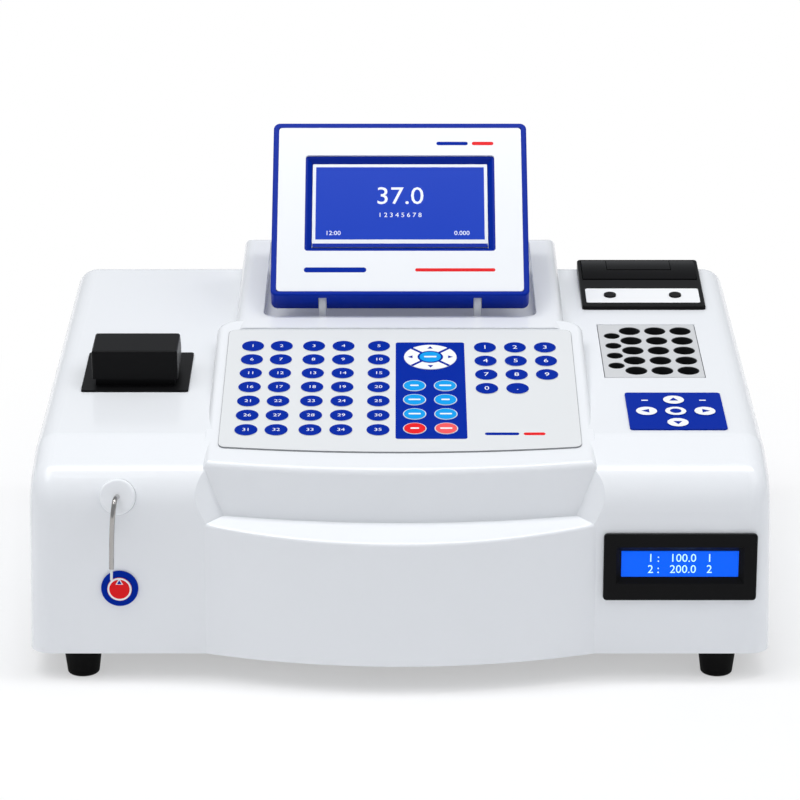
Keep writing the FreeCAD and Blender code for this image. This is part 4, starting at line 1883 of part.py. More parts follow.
def build():
    """Make every sub-part, in the order in which it is fitted."""
    make_upper_housing()
    make_base_pan()
    make_feet()
    make_screws()
    make_keypads()
    make_cell_plate()
    make_cell_lid()
    make_bench()
    make_aspirator()
    make_aspirate_button()
    make_front_lcd()
    make_incubator()
    make_printer_body()
    make_printer_front()
    make_printer_door()
    make_screen_frame()
    make_screen_back()
    make_screen_face()
    make_screen_hinge()
    make_fan()
    make_rear_panel()
    make_pump()
    make_boards()


def check_and_export():
    """Stop on a failed feature or a broken shape, then write one file for each node."""
    doc.recompute()
    failed = [item.Name for item in doc.Objects if "Invalid" in item.State or "Error" in item.State]
    if failed:
        raise ValueError(f"features failed: {failed}")
    for label, item in NODES.items():
        shape = item.Shape
        if shape.isNull() or not shape.isValid() or not shape.Solids:
            raise ValueError(f"{label} has no valid solid")
    os.makedirs("parts", exist_ok=True)
    for label, item in NODES.items():
        item.Shape.exportStep(f"parts/{label}.step")
        print(f"{label}: {len(item.Shape.Solids)} solid, {item.Shape.Volume:.0f} mm3")


build()
check_and_export()
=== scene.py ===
"""Looks of a bench-top chemistry analyzer: finishes, printed keys, lit displays and the studio."""

import math

import bpy
from mathutils import Matrix, Vector


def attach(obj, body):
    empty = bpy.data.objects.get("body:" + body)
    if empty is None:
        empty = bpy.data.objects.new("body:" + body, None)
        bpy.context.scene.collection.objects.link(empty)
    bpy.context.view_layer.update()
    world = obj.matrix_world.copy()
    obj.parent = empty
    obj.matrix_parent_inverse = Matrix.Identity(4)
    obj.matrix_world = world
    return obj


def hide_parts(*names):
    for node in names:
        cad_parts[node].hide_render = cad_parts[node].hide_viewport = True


bl_info = {
    "name": "Chemistry analyzer looks",
    "version": (1, 0, 0),
    "blender": (4, 5, 0),
    "location": "View3D > Sidebar > Analyzer",
    "description": "Dresses the analyzer's frame with finishes, printed keys and lit displays",
    "category": "Object",
}

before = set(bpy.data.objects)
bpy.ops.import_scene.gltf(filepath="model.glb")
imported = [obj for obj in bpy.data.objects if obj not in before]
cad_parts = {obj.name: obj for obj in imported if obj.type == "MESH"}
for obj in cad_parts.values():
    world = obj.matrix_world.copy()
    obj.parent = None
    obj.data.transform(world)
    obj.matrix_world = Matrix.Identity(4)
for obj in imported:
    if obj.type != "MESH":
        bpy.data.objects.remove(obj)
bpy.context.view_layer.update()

MM = 0.001
HOUSING = "housing"
SCREEN = "screen"

INK_HEIGHT = 0.08 * MM
BAR_HEIGHT = 0.04 * MM
RING_INK = 0.03 * MM
LETTER_DEPTH = 0.02 * MM
DISPLAY_LIFT = 0.03 * MM
CAP_INSET = 0.05
CAP_RISE = 0.2
KEY_MARGIN = 0.1 * MM
TOP_FACE = 0.9
SMOOTH_ANGLE = math.radians(40.0)
GRAIN_DISTANCE = 0.02 * MM

# Each lamp's name, place in metres, width and depth in metres, and power in watts
LAMPS = (
    ("key_light", (-1.2, -0.75, 2.5), (1.6, 1.2), 14.5),
    ("fill_light", (1.6, -0.75, 2.0), (1.5, 1.2), 6.5),
    ("top_light", (0.0, -0.05, 2.5), (2.4, 0.28), 31.0),
)
LAMP_TARGET = (0.0, 0.0, 0.10)
# Distance in metres over which the floor fades to plain white, and the share at its start
FLOOR_FADE = {"From Min": 0.20, "From Max": 0.55, "To Min": 0.45}
AMBIENT = 0.46


def size(name, description, millimetres):
    """A length that the user can change, kept in metres."""
    return bpy.props.FloatProperty(name=name, description=description, unit="LENGTH",
                                   default=millimetres * MM, precision=5)


def angle(name, description, degrees):
    return bpy.props.FloatProperty(name=name, description=description, subtype="ANGLE",
                                   default=math.radians(degrees))


def colour(name, description, value):
    return bpy.props.FloatVectorProperty(name=name, description=description, default=value,
                                         subtype="COLOR", size=3, min=0.0, max=1.0)


class AnalyzerColours(bpy.types.PropertyGroup):
    """Colours of the analyzer's finishes."""

    shell: colour("Shell", "White moulded housing", (0.85, 0.868, 0.895))
    film: colour("Keypad film", "Pale grey printed film", (0.735, 0.75, 0.76))
    blue: colour("Blue", "Blue screen housing", (0.0, 0.022, 0.33))
    ink: colour("Blue ink", "Blue printed keys", (0.0, 0.022, 0.33))
    cyan: colour("Cyan ink", "Function keys", (0.0, 0.33, 0.80))
    red: colour("Red", "Red keys and sampling button", (0.80, 0.008, 0.012))
    rose: colour("Light red", "Delete key", (0.86, 0.10, 0.11))
    black: colour("Black", "Black lid and printer", (0.006, 0.006, 0.0065))
    display: colour("Display", "Blue field of the large display", (0.004, 0.036, 0.38))
    lcd: colour("Character display", "Lit blue of the front display", (0.0, 0.10, 0.80))


class AnalyzerPlaces(bpy.types.PropertyGroup):
    """Sizes and places of the printed and lit surfaces, as on the solids under them."""

    console_height: size("Console height", "Height of the console plane at the middle", 150.32)
    console_slope: angle("Console slope", "Rise of the console to the rear", 11.0)
    deck_height: size("Deck height", "Height of the deck plane at the middle", 139.26)
    deck_slope: angle("Deck slope", "Rise of the deck to the rear", 5.0)
    film_thickness: size("Film thickness", "Thickness of the printed films", 0.9)
    key_rise: size("Key rise", "Embossed height of a key", 0.35)
    key_radius: size("Key radius", "Radius of a round key", 6.5)
    key_pitch: size("Key pitch", "Distance between key rows", 16.72)
    test_row: size("Test row", "First row of test keys", -8.15)
    number_column: size("Number column", "First column of number keys", 49.3)
    number_pitch: size("Number pitch", "Distance between number columns", 17.4)
    number_row: size("Number row", "First row of number keys", -9.88)
    soft_column: size("Function column", "First column of function keys", 8.2)
    soft_pitch: size("Function pitch", "Distance between function columns", 17.5)
    soft_row: size("Function row", "First row of function keys", -56.64)
    ring_x: size("Ring place", "Centre of the arrow ring", 17.5)
    ring_row: size("Ring row", "Centre of the arrow ring along the console", -21.8)
    ring_radius: size("Ring radius", "Outer radius of the arrow ring", 15.2)
    side_pad_x: size("Side keypad place", "Centre of the side keypad", 154.9)
    side_pad_front: size("Side keypad front", "Front edge of the side keypad", -105.3)
    side_pad_length: size("Side keypad length", "Length of the side keypad", 53.0)
    side_key_pitch: size("Side key pitch", "Distance between side keys", 16.4)
    side_key_radius: size("Side key radius", "Radius of a side key", 6.0)
    screen_y: size("Screen edge", "Lower front edge of the screen", 29.6)
    screen_z: size("Screen edge height", "Height of the lower front edge of the screen", 170.0)
    screen_lean: angle("Screen lean", "Lean of the screen back from upright", 45.5)
    display_depth: size("Display depth", "Depth of the silver frame's face in the screen", 3.3)
    display_half_width: size("Display half width", "Half the width of the lit field", 50.6)
    display_bottom: size("Display bottom", "Lower edge of the lit field", 40.1)
    display_height: size("Display height", "Height of the lit field", 50.8)
    silver_half_width: size("Silver half width", "Half the width of the silver frame", 52.4)
    silver_bottom: size("Silver bottom", "Lower edge of the silver frame", 37.4)
    silver_foot: size("Silver foot", "Lower edge of the blue strip under the silver frame", 34.9)
    button_x: size("Button place", "Centre of the sampling button", -153.8)
    button_y: size("Button face", "Front face of the sampling button", -152.0)
    button_z: size("Button height", "Height of the sampling button", 53.6)
    front_lcd_x: size("Front display place", "Centre of the front display", 153.4)
    front_lcd_y: size("Front display depth", "Front of the front display's glass", -149.4)
    front_lcd_z: size("Front display height", "Lower edge of its window", 59.8)
    front_lcd_half_width: size("Front display half width", "Half the width of its window", 32.2)
    front_lcd_height: size("Front window height", "Height of its window", 15.2)


def places():
    return bpy.context.scene.analyzer_places


def colours():
    return bpy.context.scene.analyzer_colours


# Shader groups that the finishes share
def shader_group(name, inputs, outputs):
    """An empty group with named sockets, and its two ends."""
    group = bpy.data.node_groups.new(name, "ShaderNodeTree")
    for label, kind, default in inputs:
        socket = group.interface.new_socket(label, in_out="INPUT", socket_type=kind)
        socket.default_value = default
    for label, kind in outputs:
        group.interface.new_socket(label, in_out="OUTPUT", socket_type=kind)
    return group, group.nodes.new("NodeGroupInput"), group.nodes.new("NodeGroupOutput")


def add_node(tree, kind, **settings):
    item = tree.nodes.new(kind)
    for key, value in settings.items():
        setattr(item, key, value)
    return item


def vary(group, start, end, field, tone_change, rough_change):
    """Let a noise field shift a group's colour and roughness about their middle."""
    links = group.links
    centred = add_node(group, "ShaderNodeMath", operation="SUBTRACT")
    centred.inputs[1].default_value = 0.5
    links.new(field, centred.inputs[0])
    tone = add_node(group, "ShaderNodeMath", operation="MULTIPLY_ADD")
    tone.inputs[2].default_value = 1.0
    links.new(centred.outputs[0], tone.inputs[0])
    links.new(start.outputs[tone_change], tone.inputs[1])
    shade = add_node(group, "ShaderNodeVectorMath", operation="SCALE")
    links.new(start.outputs["Color"], shade.inputs[0])
    links.new(tone.outputs[0], shade.inputs["Scale"])
    links.new(shade.outputs[0], end.inputs["Color"])
    rough = add_node(group, "ShaderNodeMath", operation="MULTIPLY_ADD")
    links.new(centred.outputs[0], rough.inputs[0])
    links.new(start.outputs[rough_change], rough.inputs[1])
    links.new(start.outputs["Roughness"], rough.inputs[2])
    links.new(rough.outputs[0], end.inputs["Roughness"])


SKIN_OUTPUTS = [("Color", "NodeSocketColor"), ("Roughness", "NodeSocketFloat"),
                ("Height", "NodeSocketFloat")]


def moulded_group():
    """Fine texture of moulded, painted or printed skins: tone, roughness and height."""
    name = "moulded_skin"
    if name in bpy.data.node_groups:
        return bpy.data.node_groups[name]
    group, start, end = shader_group(
        name,
        [("Color", "NodeSocketColor", (0.8, 0.8, 0.8, 1.0)),
         ("Tone Change", "NodeSocketFloat", 0.02), ("Roughness", "NodeSocketFloat", 0.4),
         ("Roughness Change", "NodeSocketFloat", 0.05), ("Grain Scale", "NodeSocketFloat", 900.0)],
        SKIN_OUTPUTS)
    links = group.links
    coords = add_node(group, "ShaderNodeTexCoord")
    grain = add_node(group, "ShaderNodeTexNoise")
    grain.inputs["Detail"].default_value = 3.0
    links.new(coords.outputs["Object"], grain.inputs["Vector"])
    links.new(start.outputs["Grain Scale"], grain.inputs["Scale"])
    cloud = add_node(group, "ShaderNodeTexNoise")
    cloud.inputs["Scale"].default_value = 14.0
    cloud.inputs["Detail"].default_value = 4.0
    links.new(coords.outputs["Object"], cloud.inputs["Vector"])
    vary(group, start, end, cloud.outputs["Fac"], "Tone Change", "Roughness Change")
    links.new(grain.outputs["Fac"], end.inputs["Height"])
    return group


def brushed_group():
    """Fine lines of brushed or milled metal along one direction."""
    name = "brushed_metal"
    if name in bpy.data.node_groups:
        return bpy.data.node_groups[name]
    group, start, end = shader_group(
        name,
        [("Color", "NodeSocketColor", (0.7, 0.7, 0.7, 1.0)),
         ("Roughness", "NodeSocketFloat", 0.3), ("Line Change", "NodeSocketFloat", 0.15),
         ("Stretch", "NodeSocketVector", (20.0, 1800.0, 1800.0))],
        SKIN_OUTPUTS)
    links = group.links
    coords = add_node(group, "ShaderNodeTexCoord")
    scale = add_node(group, "ShaderNodeVectorMath", operation="MULTIPLY")
    links.new(coords.outputs["Object"], scale.inputs[0])
    links.new(start.outputs["Stretch"], scale.inputs[1])
    lines = add_node(group, "ShaderNodeTexNoise")
    lines.inputs["Scale"].default_value = 1.0
    lines.inputs["Detail"].default_value = 4.0
    links.new(scale.outputs[0], lines.inputs["Vector"])
    vary(group, start, end, lines.outputs["Fac"], "Line Change", "Line Change")
    links.new(lines.outputs["Fac"], end.inputs["Height"])
    return group


def new_material(name, group, values, bump, plain):
    """A Principled finish fed by a shared group; plain values sit on the shader itself."""
    if name in bpy.data.materials:
        return bpy.data.materials[name]
    material = bpy.data.materials.new(name)
    material.use_nodes = True
    tree = material.node_tree
    shader = tree.nodes["Principled BSDF"]
    skin = add_node(tree, "ShaderNodeGroup", node_tree=group)
    for label, value in values.items():
        skin.inputs[label].default_value = value
    relief = add_node(tree, "ShaderNodeBump")
    relief.inputs["Strength"].default_value = bump
    relief.inputs["Distance"].default_value = GRAIN_DISTANCE
    tree.links.new(skin.outputs["Color"], shader.inputs["Base Color"])
    tree.links.new(skin.outputs["Roughness"], shader.inputs["Roughness"])
    tree.links.new(skin.outputs["Height"], relief.inputs["Height"])
    tree.links.new(relief.outputs["Normal"], shader.inputs["Normal"])
    for label, value in plain.items():
        shader.inputs[label].default_value = value
    return material


def opaque(value):
    return (*value, 1.0)


def moulded(name, shade, roughness, coat=0.0, grain=900.0, bump=0.06, tone=0.02, gloss=0.5,
            **plain):
    """A plastic, rubber, paint or print finish."""
    settings = {"Coat Weight": coat, "Coat Roughness": 0.08, "IOR": 1.5,
                "Specular IOR Level": gloss}
    settings.update(plain)
    values = {"Color": opaque(shade), "Roughness": roughness, "Roughness Change": 0.06,
              "Tone Change": tone, "Grain Scale": grain}
    return new_material(name, moulded_group(), values, bump, settings)


def brushed(name, shade, roughness, change, stretch=(20.0, 1800.0, 1800.0), bump=0.15, metal=1.0):
    """A bare metal finish with fine lines."""
    values = {"Color": opaque(shade), "Roughness": roughness, "Line Change": change,
              "Stretch": stretch}
    return new_material(name, brushed_group(), values, bump, {"Metallic": metal})


def lit(name, shade, strength):
    """A backlit surface under clear glass."""
    return moulded(name, shade, 0.25, bump=0.0, tone=0.03, gloss=0.12,
                   **{"Emission Color": opaque(shade), "Emission Strength": strength})


def glassy(name, tint):
    return moulded(name, tint, 0.05, bump=0.0, **{"Transmission Weight": 1.0})


def finishes():
    """Every finish by the name it goes by."""
    c = colours()
    return {
        "white": moulded("white_shell", c.shell, 0.24, coat=0.30, grain=700.0, bump=0.03,
                         tone=0.012),
        "fascia": moulded("white_fascia", (0.90, 0.91, 0.92), 0.35, coat=0.2, bump=0.03),
        "film": moulded("keypad_film", c.film, 0.45, grain=1600.0, bump=0.10, tone=0.01,
                        gloss=0.35),
        # Dark grey rim round the keypad film: painted shadow along the film's edge
        "painted_film_shadow": moulded("painted_film_shadow", (0.30, 0.31, 0.32), 0.5, bump=0.05, gloss=0.2),
        "blue": moulded("blue_housing", c.blue, 0.34, coat=0.02, grain=1100.0, bump=0.05,
                        tone=0.05, gloss=0.08),
        "ink": moulded("blue_ink", c.ink, 0.45, grain=1600.0, bump=0.05, tone=0.04, gloss=0.03),
        "cyan": moulded("cyan_ink", c.cyan, 0.45, grain=1600.0, bump=0.05, tone=0.03, gloss=0.1),
        "red": moulded("red_plastic", c.red, 0.35, bump=0.03, tone=0.04, gloss=0.12),
        "rose": moulded("light_red_ink", c.rose, 0.45, grain=1600.0, bump=0.05, tone=0.03,
                        gloss=0.1),
        "white_ink": moulded("white_ink", (0.90, 0.91, 0.92), 0.45, bump=0.02, tone=0.01),
        "black": moulded("black_plastic", c.black, 0.34, grain=1300.0, bump=0.10, tone=0.12,
                         gloss=0.07),
        "rubber": moulded("foot_rubber", (0.004, 0.004, 0.004), 0.62, grain=800.0, bump=0.25,
                          tone=0.2, gloss=0.06),
        "pan": moulded("powder_coat", (0.56, 0.57, 0.58), 0.5, grain=1200.0, bump=0.35,
                       tone=0.03),
        "board": moulded("circuit_board", (0.01, 0.13, 0.05), 0.4, bump=0.1, tone=0.2),
        "motor": moulded("motor_paint", (0.10, 0.10, 0.11), 0.4, bump=0.1, tone=0.1),
        "natural": moulded("natural_plastic", (0.72, 0.71, 0.66), 0.4, bump=0.05),
        "heater": moulded("heater_rubber", (0.35, 0.10, 0.03), 0.6, grain=1800.0, bump=0.3),
        # Near black cups in the incubator wells: painted shade of the deep wells
        "shade_in_wells": moulded("painted_well_shade", (0.020, 0.021, 0.022), 0.42, bump=0.08, tone=0.2,
                          gloss=0.2),
        "milk": moulded("milky_tube", (0.74, 0.77, 0.78), 0.35, bump=0.02),
        "aluminium": brushed("milled_aluminium", (0.80, 0.81, 0.82), 0.42, 0.06, bump=0.04,
                             metal=0.45),
        "silver": brushed("display_frame", (0.50, 0.52, 0.55), 0.42, 0.08, metal=0.5),
        "steel": brushed("plain_steel", (0.40, 0.39, 0.38), 0.16, 0.10, (900.0, 900.0, 60.0),
                         0.05),
        "display": lit("display_field", c.display, 0.30),
        "lcd": lit("character_field", c.lcd, 0.55),
        "glow": lit("display_marks", (0.74, 0.79, 0.86), 0.20),
        "lcd_glow": lit("character_marks", (0.52, 0.86, 1.0), 0.60),
        "clear": glassy("clear_glass", (0.95, 0.97, 0.98)),
        "filter": glassy("filter_glass", (0.45, 0.30, 0.62)),
    }


NODE_FINISH = {
    "white": ["upper_housing", "aspirator_boss", "hinge_brackets", "screen_face_plate"],
    "fascia": ["printer_fascia"],
    "film": ["keypad_overlay"],
    "blue": ["screen_frame", "screen_back"],
    "ink": ["side_keypad_overlay", "aspirate_ring"],
    "red": ["aspirate_button"],
    "black": ["cell_deck_plate", "cell_lid", "front_lcd_bezel", "printer_body", "printer_door",
              "door_tab", "feed_button", "select_button", "fan_frame", "fan_rotor", "power_inlet",
              "power_rocker"],
    "rubber": ["rubber_feet", "platen_roller"],
    "pan": ["base_pan", "incubator_stand", "power_supply"],
    "board": ["detector_board", "aspirate_switch", "front_lcd_board", "printer_key_board",
              "screen_board", "main_board"],
    "motor": ["filter_motor", "pump_motor"],
    "natural": ["pump_rotor", "pump_head"],
    "heater": ["incubator_heater"],
    "milk": ["needle_liner", "sample_tube", "waste_outlet"],
    "aluminium": ["incubator_block", "optical_bench", "cell_holder", "lamp_housing",
                  "filter_wheel"],
    "silver": ["screen_lcd_frame"],
    "steel": ["foot_bolts", "housing_screws", "aspiration_needle", "screen_screws",
              "serial_port", "usb_port"],
    "display": ["screen_lcd"],
    "lcd": ["front_lcd"],
    "clear": ["flow_cell", "halogen_lamp", "condenser_lens"],
    "filter": ["interference_filters"],
}


# Planes that prints and marks lie on
def plane(origin, turn):
    """A plane through a point, turned about X: its own Y runs up the slope."""
    return Matrix.Translation(Vector(origin)) @ Matrix.Rotation(turn, 4, "X")


def console_plane(lift):
    p = places()
    base = plane((0.0, 0.0, p.console_height), p.console_slope)
    return base @ Matrix.Translation((0.0, 0.0, p.film_thickness + lift))


def side_plane(lift):
    p = places()
    height = p.deck_height + math.tan(p.deck_slope) * p.side_pad_front
    base = plane((p.side_pad_x, p.side_pad_front, height), p.deck_slope)
    return base @ Matrix.Translation((0.0, 0.0, p.film_thickness + lift))


def screen_plane(depth):
    p = places()
    base = plane((0.0, p.screen_y, p.screen_z), math.radians(90.0) - p.screen_lean)
    return base @ Matrix.Translation((0.0, 0.0, -depth))


def front_plane():
    p = places()
    return plane((p.front_lcd_x, p.front_lcd_y, p.front_lcd_z), math.radians(90.0))


# Modelling by hand
def deselect():
    for item in bpy.context.selected_objects:
        item.select_set(False)


def pick(item):
    deselect()
    item.select_set(True)
    bpy.context.view_layer.objects.active = item


def choose_faces(item, test):
    """Select the faces whose centre and normal pass a test, in edit mode."""
    bpy.ops.object.mode_set(mode="EDIT")
    bpy.ops.mesh.select_all(action="DESELECT")
    bpy.ops.mesh.select_mode(type="FACE")
    bpy.ops.object.mode_set(mode="OBJECT")
    for face in item.data.polygons:
        face.select = test(face.center, face.normal)
    bpy.ops.object.mode_set(mode="EDIT")


def join(name, items):
    """Like pieces become one."""
    deselect()
    for item in items:
        item.select_set(True)
    bpy.context.view_layer.objects.active = items[0]
    if len(items) > 1:
        bpy.ops.object.join()
    whole = bpy.context.view_layer.objects.active
    whole.name = name
    return whole


def repeat(item, spots):
    """Copies of a piece, each with its own mesh, one at each spot."""
    copies = []
    for spot in spots[1:]:
        copy = item.copy()
        copy.data = item.data.copy()
        copy.location = (spot[0], spot[1], item.location.z)
        bpy.context.collection.objects.link(copy)
        copies.append(copy)
    item.location = (spots[0][0], spots[0][1], item.location.z)
    return [item] + copies


def key_cap(radius, height):
    """A printed key: a thin disc whose top is stepped in and slightly raised."""
    deselect()
    bpy.ops.mesh.primitive_cylinder_add(vertices=48, radius=radius, depth=height,
                                        location=(0.0, 0.0, height / 2))
    cap = bpy.context.object
    choose_faces(cap, lambda centre, normal: normal.z > TOP_FACE)
    bpy.ops.mesh.inset(thickness=radius * CAP_INSET)
    bpy.ops.transform.translate(value=(0.0, 0.0, height * CAP_RISE))
    bpy.ops.object.mode_set(mode="OBJECT")
    return cap


def thicken(height):
    """Extrude the flat piece that is in edit mode, and leave edit mode."""
    bpy.ops.mesh.select_all(action="SELECT")
    bpy.ops.mesh.extrude_region_move(TRANSFORM_OT_translate={"value": (0.0, 0.0, height)})
    bpy.ops.mesh.select_all(action="SELECT")
    bpy.ops.mesh.normals_make_consistent(inside=False)
    bpy.ops.object.mode_set(mode="OBJECT")


def flat_plate(low, high, corner, height):
    """A thin plate with rounded corners."""
    deselect()
    middle = ((low[0] + high[0]) / 2, (low[1] + high[1]) / 2, 0.0)
    bpy.ops.mesh.primitive_plane_add(size=1.0, location=middle)
    plate = bpy.context.object
    bpy.ops.object.mode_set(mode="EDIT")
    bpy.ops.mesh.select_all(action="SELECT")
    bpy.ops.transform.resize(value=(high[0] - low[0], high[1] - low[1], 1.0))
    if corner > 0.0:
        bpy.ops.mesh.bevel(offset=corner, segments=5, affect="VERTICES")
    thicken(height)
    return plate


def bar_at(spot, half_width, half_height, corner):
    """A small printed bar, centred on a spot."""
    x, y = spot
    return flat_plate((x - half_width, y - half_height), (x + half_width, y + half_height),
                      corner, BAR_HEIGHT)


def arrowhead(radius, height, turn, spot):
    """A small printed triangle that points away from the ring's centre."""
    deselect()
    bpy.ops.mesh.primitive_circle_add(vertices=3, radius=radius, fill_type="NGON",
                                      location=(0.0, 0.0, 0.0))
    arrow = bpy.context.object
    bpy.ops.object.mode_set(mode="EDIT")
    thicken(height)
    arrow.rotation_euler = (0.0, 0.0, turn)
    arrow.location = (spot[0], spot[1], 0.0)
    return arrow


def printed_number(text, height, spot):
    """Raised print of a plain number, centred on a spot."""
    deselect()
    bpy.ops.object.text_add(location=(spot[0], spot[1], 0.0))
    label = bpy.context.object
    label.data.body = text
    label.data.size = height
    label.data.align_x = "CENTER"
    label.data.align_y = "CENTER"
    label.data.extrude = LETTER_DEPTH
    label.data.resolution_u = 3
    bpy.ops.object.convert(target="MESH")
    return bpy.context.object


def dress(item, finish):
    """One finish for the whole piece."""
    item.data.materials.clear()
    item.data.materials.append(finishes()[finish])


def settle(name, items, surface, finish, body):
    """Join the pieces, lay them on their surface and fix them to their body."""
    whole = join(name, items)
    pick(whole)
    bpy.ops.object.transform_apply(location=True, rotation=True, scale=True)
    whole.matrix_world = surface
    bpy.context.view_layer.update()
    bpy.ops.object.transform_apply(location=True, rotation=True, scale=True)
    dress(whole, finish)
    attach(whole, body)
    return whole


# Places of the keys
def test_spots():
    p = places()
    columns = [x * MM for x in (-85.4, -68.7, -49.9, -32.8, -12.2)]
    return [(x, p.test_row - row * p.key_pitch) for row in range(7) for x in columns]


def number_spots():
    p = places()
    return [(p.number_column + column * p.number_pitch, p.number_row - row * p.key_pitch)
            for row in range(4) for column in range(3 if row < 3 else 2)]


def function_spots():
    p = places()
    return [(p.soft_column + column * p.soft_pitch, p.soft_row - row * p.key_pitch)
            for row in range(4) for column in range(2)]


class ANALYZER_OT_finish_solids(bpy.types.Operator):
    """Give every solid of the frame its finish"""

    bl_idname = "analyzer.finish_solids"
    bl_label = "Finish the solids"

    def execute(self, context):
        palette = finishes()
        for finish, names in NODE_FINISH.items():
            for name in names:
                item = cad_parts[name]
                if not item.material_slots:
                    item.data.materials.append(None)
                for slot in item.material_slots:
                    slot.material = palette[finish]
        return {"FINISHED"}


class ANALYZER_OT_print_console(bpy.types.Operator):
    """Print the test keys, the number keys and the function field on the console's film"""

    bl_idname = "analyzer.print_console"
    bl_label = "Print the console"

    def execute(self, context):
        p = places()
        keys, marks = console_plane(p.key_rise), console_plane(p.key_rise + KEY_MARGIN)
        radius = p.key_radius - KEY_MARGIN
        soft_radius = radius - 0.4 * MM
        tests, numbers, functions = test_spots(), number_spots(), function_spots()

        caps = repeat(key_cap(radius, INK_HEIGHT), tests + numbers)
        settle("console_keys", caps, keys, "ink", HOUSING)
        labels = [printed_number(str(count), 4.6 * MM, spot)
                  for count, spot in enumerate(tests, start=1)]
        digits = [str(count) for count in range(1, 10)] + ["0", "."]
        labels += [printed_number(digit, 6.0 * MM, spot) for digit, spot in zip(digits, numbers)]
        settle("console_key_numbers", labels, marks, "white_ink", HOUSING)

        field = flat_plate((-2.5 * MM, -118.3 * MM), (37.3 * MM, -3.1 * MM), 1.6 * MM, INK_HEIGHT)
        settle("function_field", [field], console_plane(0.0), "ink", HOUSING)
        for name, spots, finish, slot in (("function_keys", functions[:6], "cyan", "blue"),
                                          ("feed_key", functions[6:7], "red", "red"),
                                          ("erase_key", functions[7:8], "rose", "red")):
            caps = repeat(key_cap(soft_radius, INK_HEIGHT), spots)
            settle(name, caps, keys, finish, HOUSING)
        bars = [bar_at(spot, (3.4 if count % 3 else 2.4) * MM, 0.8 * MM, 0.5 * MM)
                for count, spot in enumerate(functions)]
        settle("function_key_bars", bars, marks, "white_ink", HOUSING)
        return {"FINISHED"}


class ANALYZER_OT_print_ring(bpy.types.Operator):
    """Print the arrow ring of the console"""

    bl_idname = "analyzer.print_ring"
    bl_label = "Print the arrow ring"

    def execute(self, context):
        p = places()
        x, y, radius = p.ring_x, p.ring_row, p.ring_radius
        half_bar, arrow_reach = 0.9 * MM, 11.2 * MM
        marks_lift, centre_lift, bar_lift = 0.075 * MM, 0.12 * MM, 0.19 * MM

        base = repeat(key_cap(radius - 0.15 * MM, 0.06 * MM), [(x, y)])
        settle("arrow_ring", base, console_plane(p.key_rise), "white_ink", HOUSING)
        marks = []
        for turn in (math.pi / 4, -math.pi / 4):
            bar = flat_plate((-radius, -half_bar), (radius, half_bar), 0.0, RING_INK)
            bar.rotation_euler = (0.0, 0.0, turn)
            bar.location = (x, y, 0.0)
            marks.append(bar)
        marks += repeat(key_cap(7.4 * MM, RING_INK), [(x, y)])
        for turn in range(4):
            direction = turn * math.pi / 2
            spot = (x + arrow_reach * math.cos(direction), y + arrow_reach * math.sin(direction))
            marks.append(arrowhead(1.9 * MM, RING_INK, direction - math.pi / 2, spot))
        settle("arrow_ring_marks", marks, console_plane(p.key_rise + marks_lift), "ink", HOUSING)
        centre = repeat(key_cap(6.2 * MM, 0.05 * MM), [(x, y)])
        settle("arrow_ring_centre", centre, console_plane(p.key_rise + centre_lift), "cyan",
               HOUSING)
        bar = bar_at((x, y), 3.6 * MM, half_bar, 0.5 * MM)
        settle("arrow_ring_bar", [bar], console_plane(p.key_rise + bar_lift), "white_ink", HOUSING)
        return {"FINISHED"}


class ANALYZER_OT_print_side_keypad(bpy.types.Operator):
    """Print the five round keys of the blue side keypad"""

    bl_idname = "analyzer.print_side_keypad"
    bl_label = "Print the side keypad"

    def execute(self, context):
        p = places()
        middle = p.side_pad_length / 2 - 1.5 * MM
        pitch = p.side_key_pitch
        spots = [(x * pitch, middle + y * pitch)
                 for x, y in ((0, 0), (-1, 0), (1, 0), (0, 1), (0, -1))]
        caps = repeat(key_cap(p.side_key_radius - KEY_MARGIN, INK_HEIGHT), spots)
        settle("side_keys", caps, side_plane(p.key_rise), "white_ink", HOUSING)
        marks = [arrowhead(2.9 * MM, BAR_HEIGHT, turn - math.pi / 2, spot)
                 for spot, turn in zip(spots[1:], (math.pi, 0.0, math.pi / 2, -math.pi / 2))]
        marks += repeat(key_cap(3.2 * MM, BAR_HEIGHT), spots[:1])
        settle("side_key_marks", marks, side_plane(p.key_rise + KEY_MARGIN), "ink", HOUSING)
        bars = [bar_at((side * pitch, middle + pitch), 1.9 * MM, 0.7 * MM, 0.4 * MM)
                for side in (-1, 1)]
        settle("side_keypad_bars", bars, side_plane(0.0), "white_ink", HOUSING)
        return {"FINISHED"}


class ANALYZER_OT_light_front_display(bpy.types.Operator):
    """Two rows of plain numbers on the lit front display"""

    bl_idname = "analyzer.light_front_display"
    bl_label = "Light the front display"

    def execute(self, context):
        rows = [printed_number(text, 6.6 * MM, (0.0, height))
                for text, height in (("1 :   100.0   1", 10.9 * MM), ("2 :   200.0   2", 4.4 * MM))]
        surface = front_plane() @ Matrix.Translation((0.0, 0.0, DISPLAY_LIFT))
        settle("front_display_numbers", rows, surface, "lcd_glow", HOUSING)
        return {"FINISHED"}


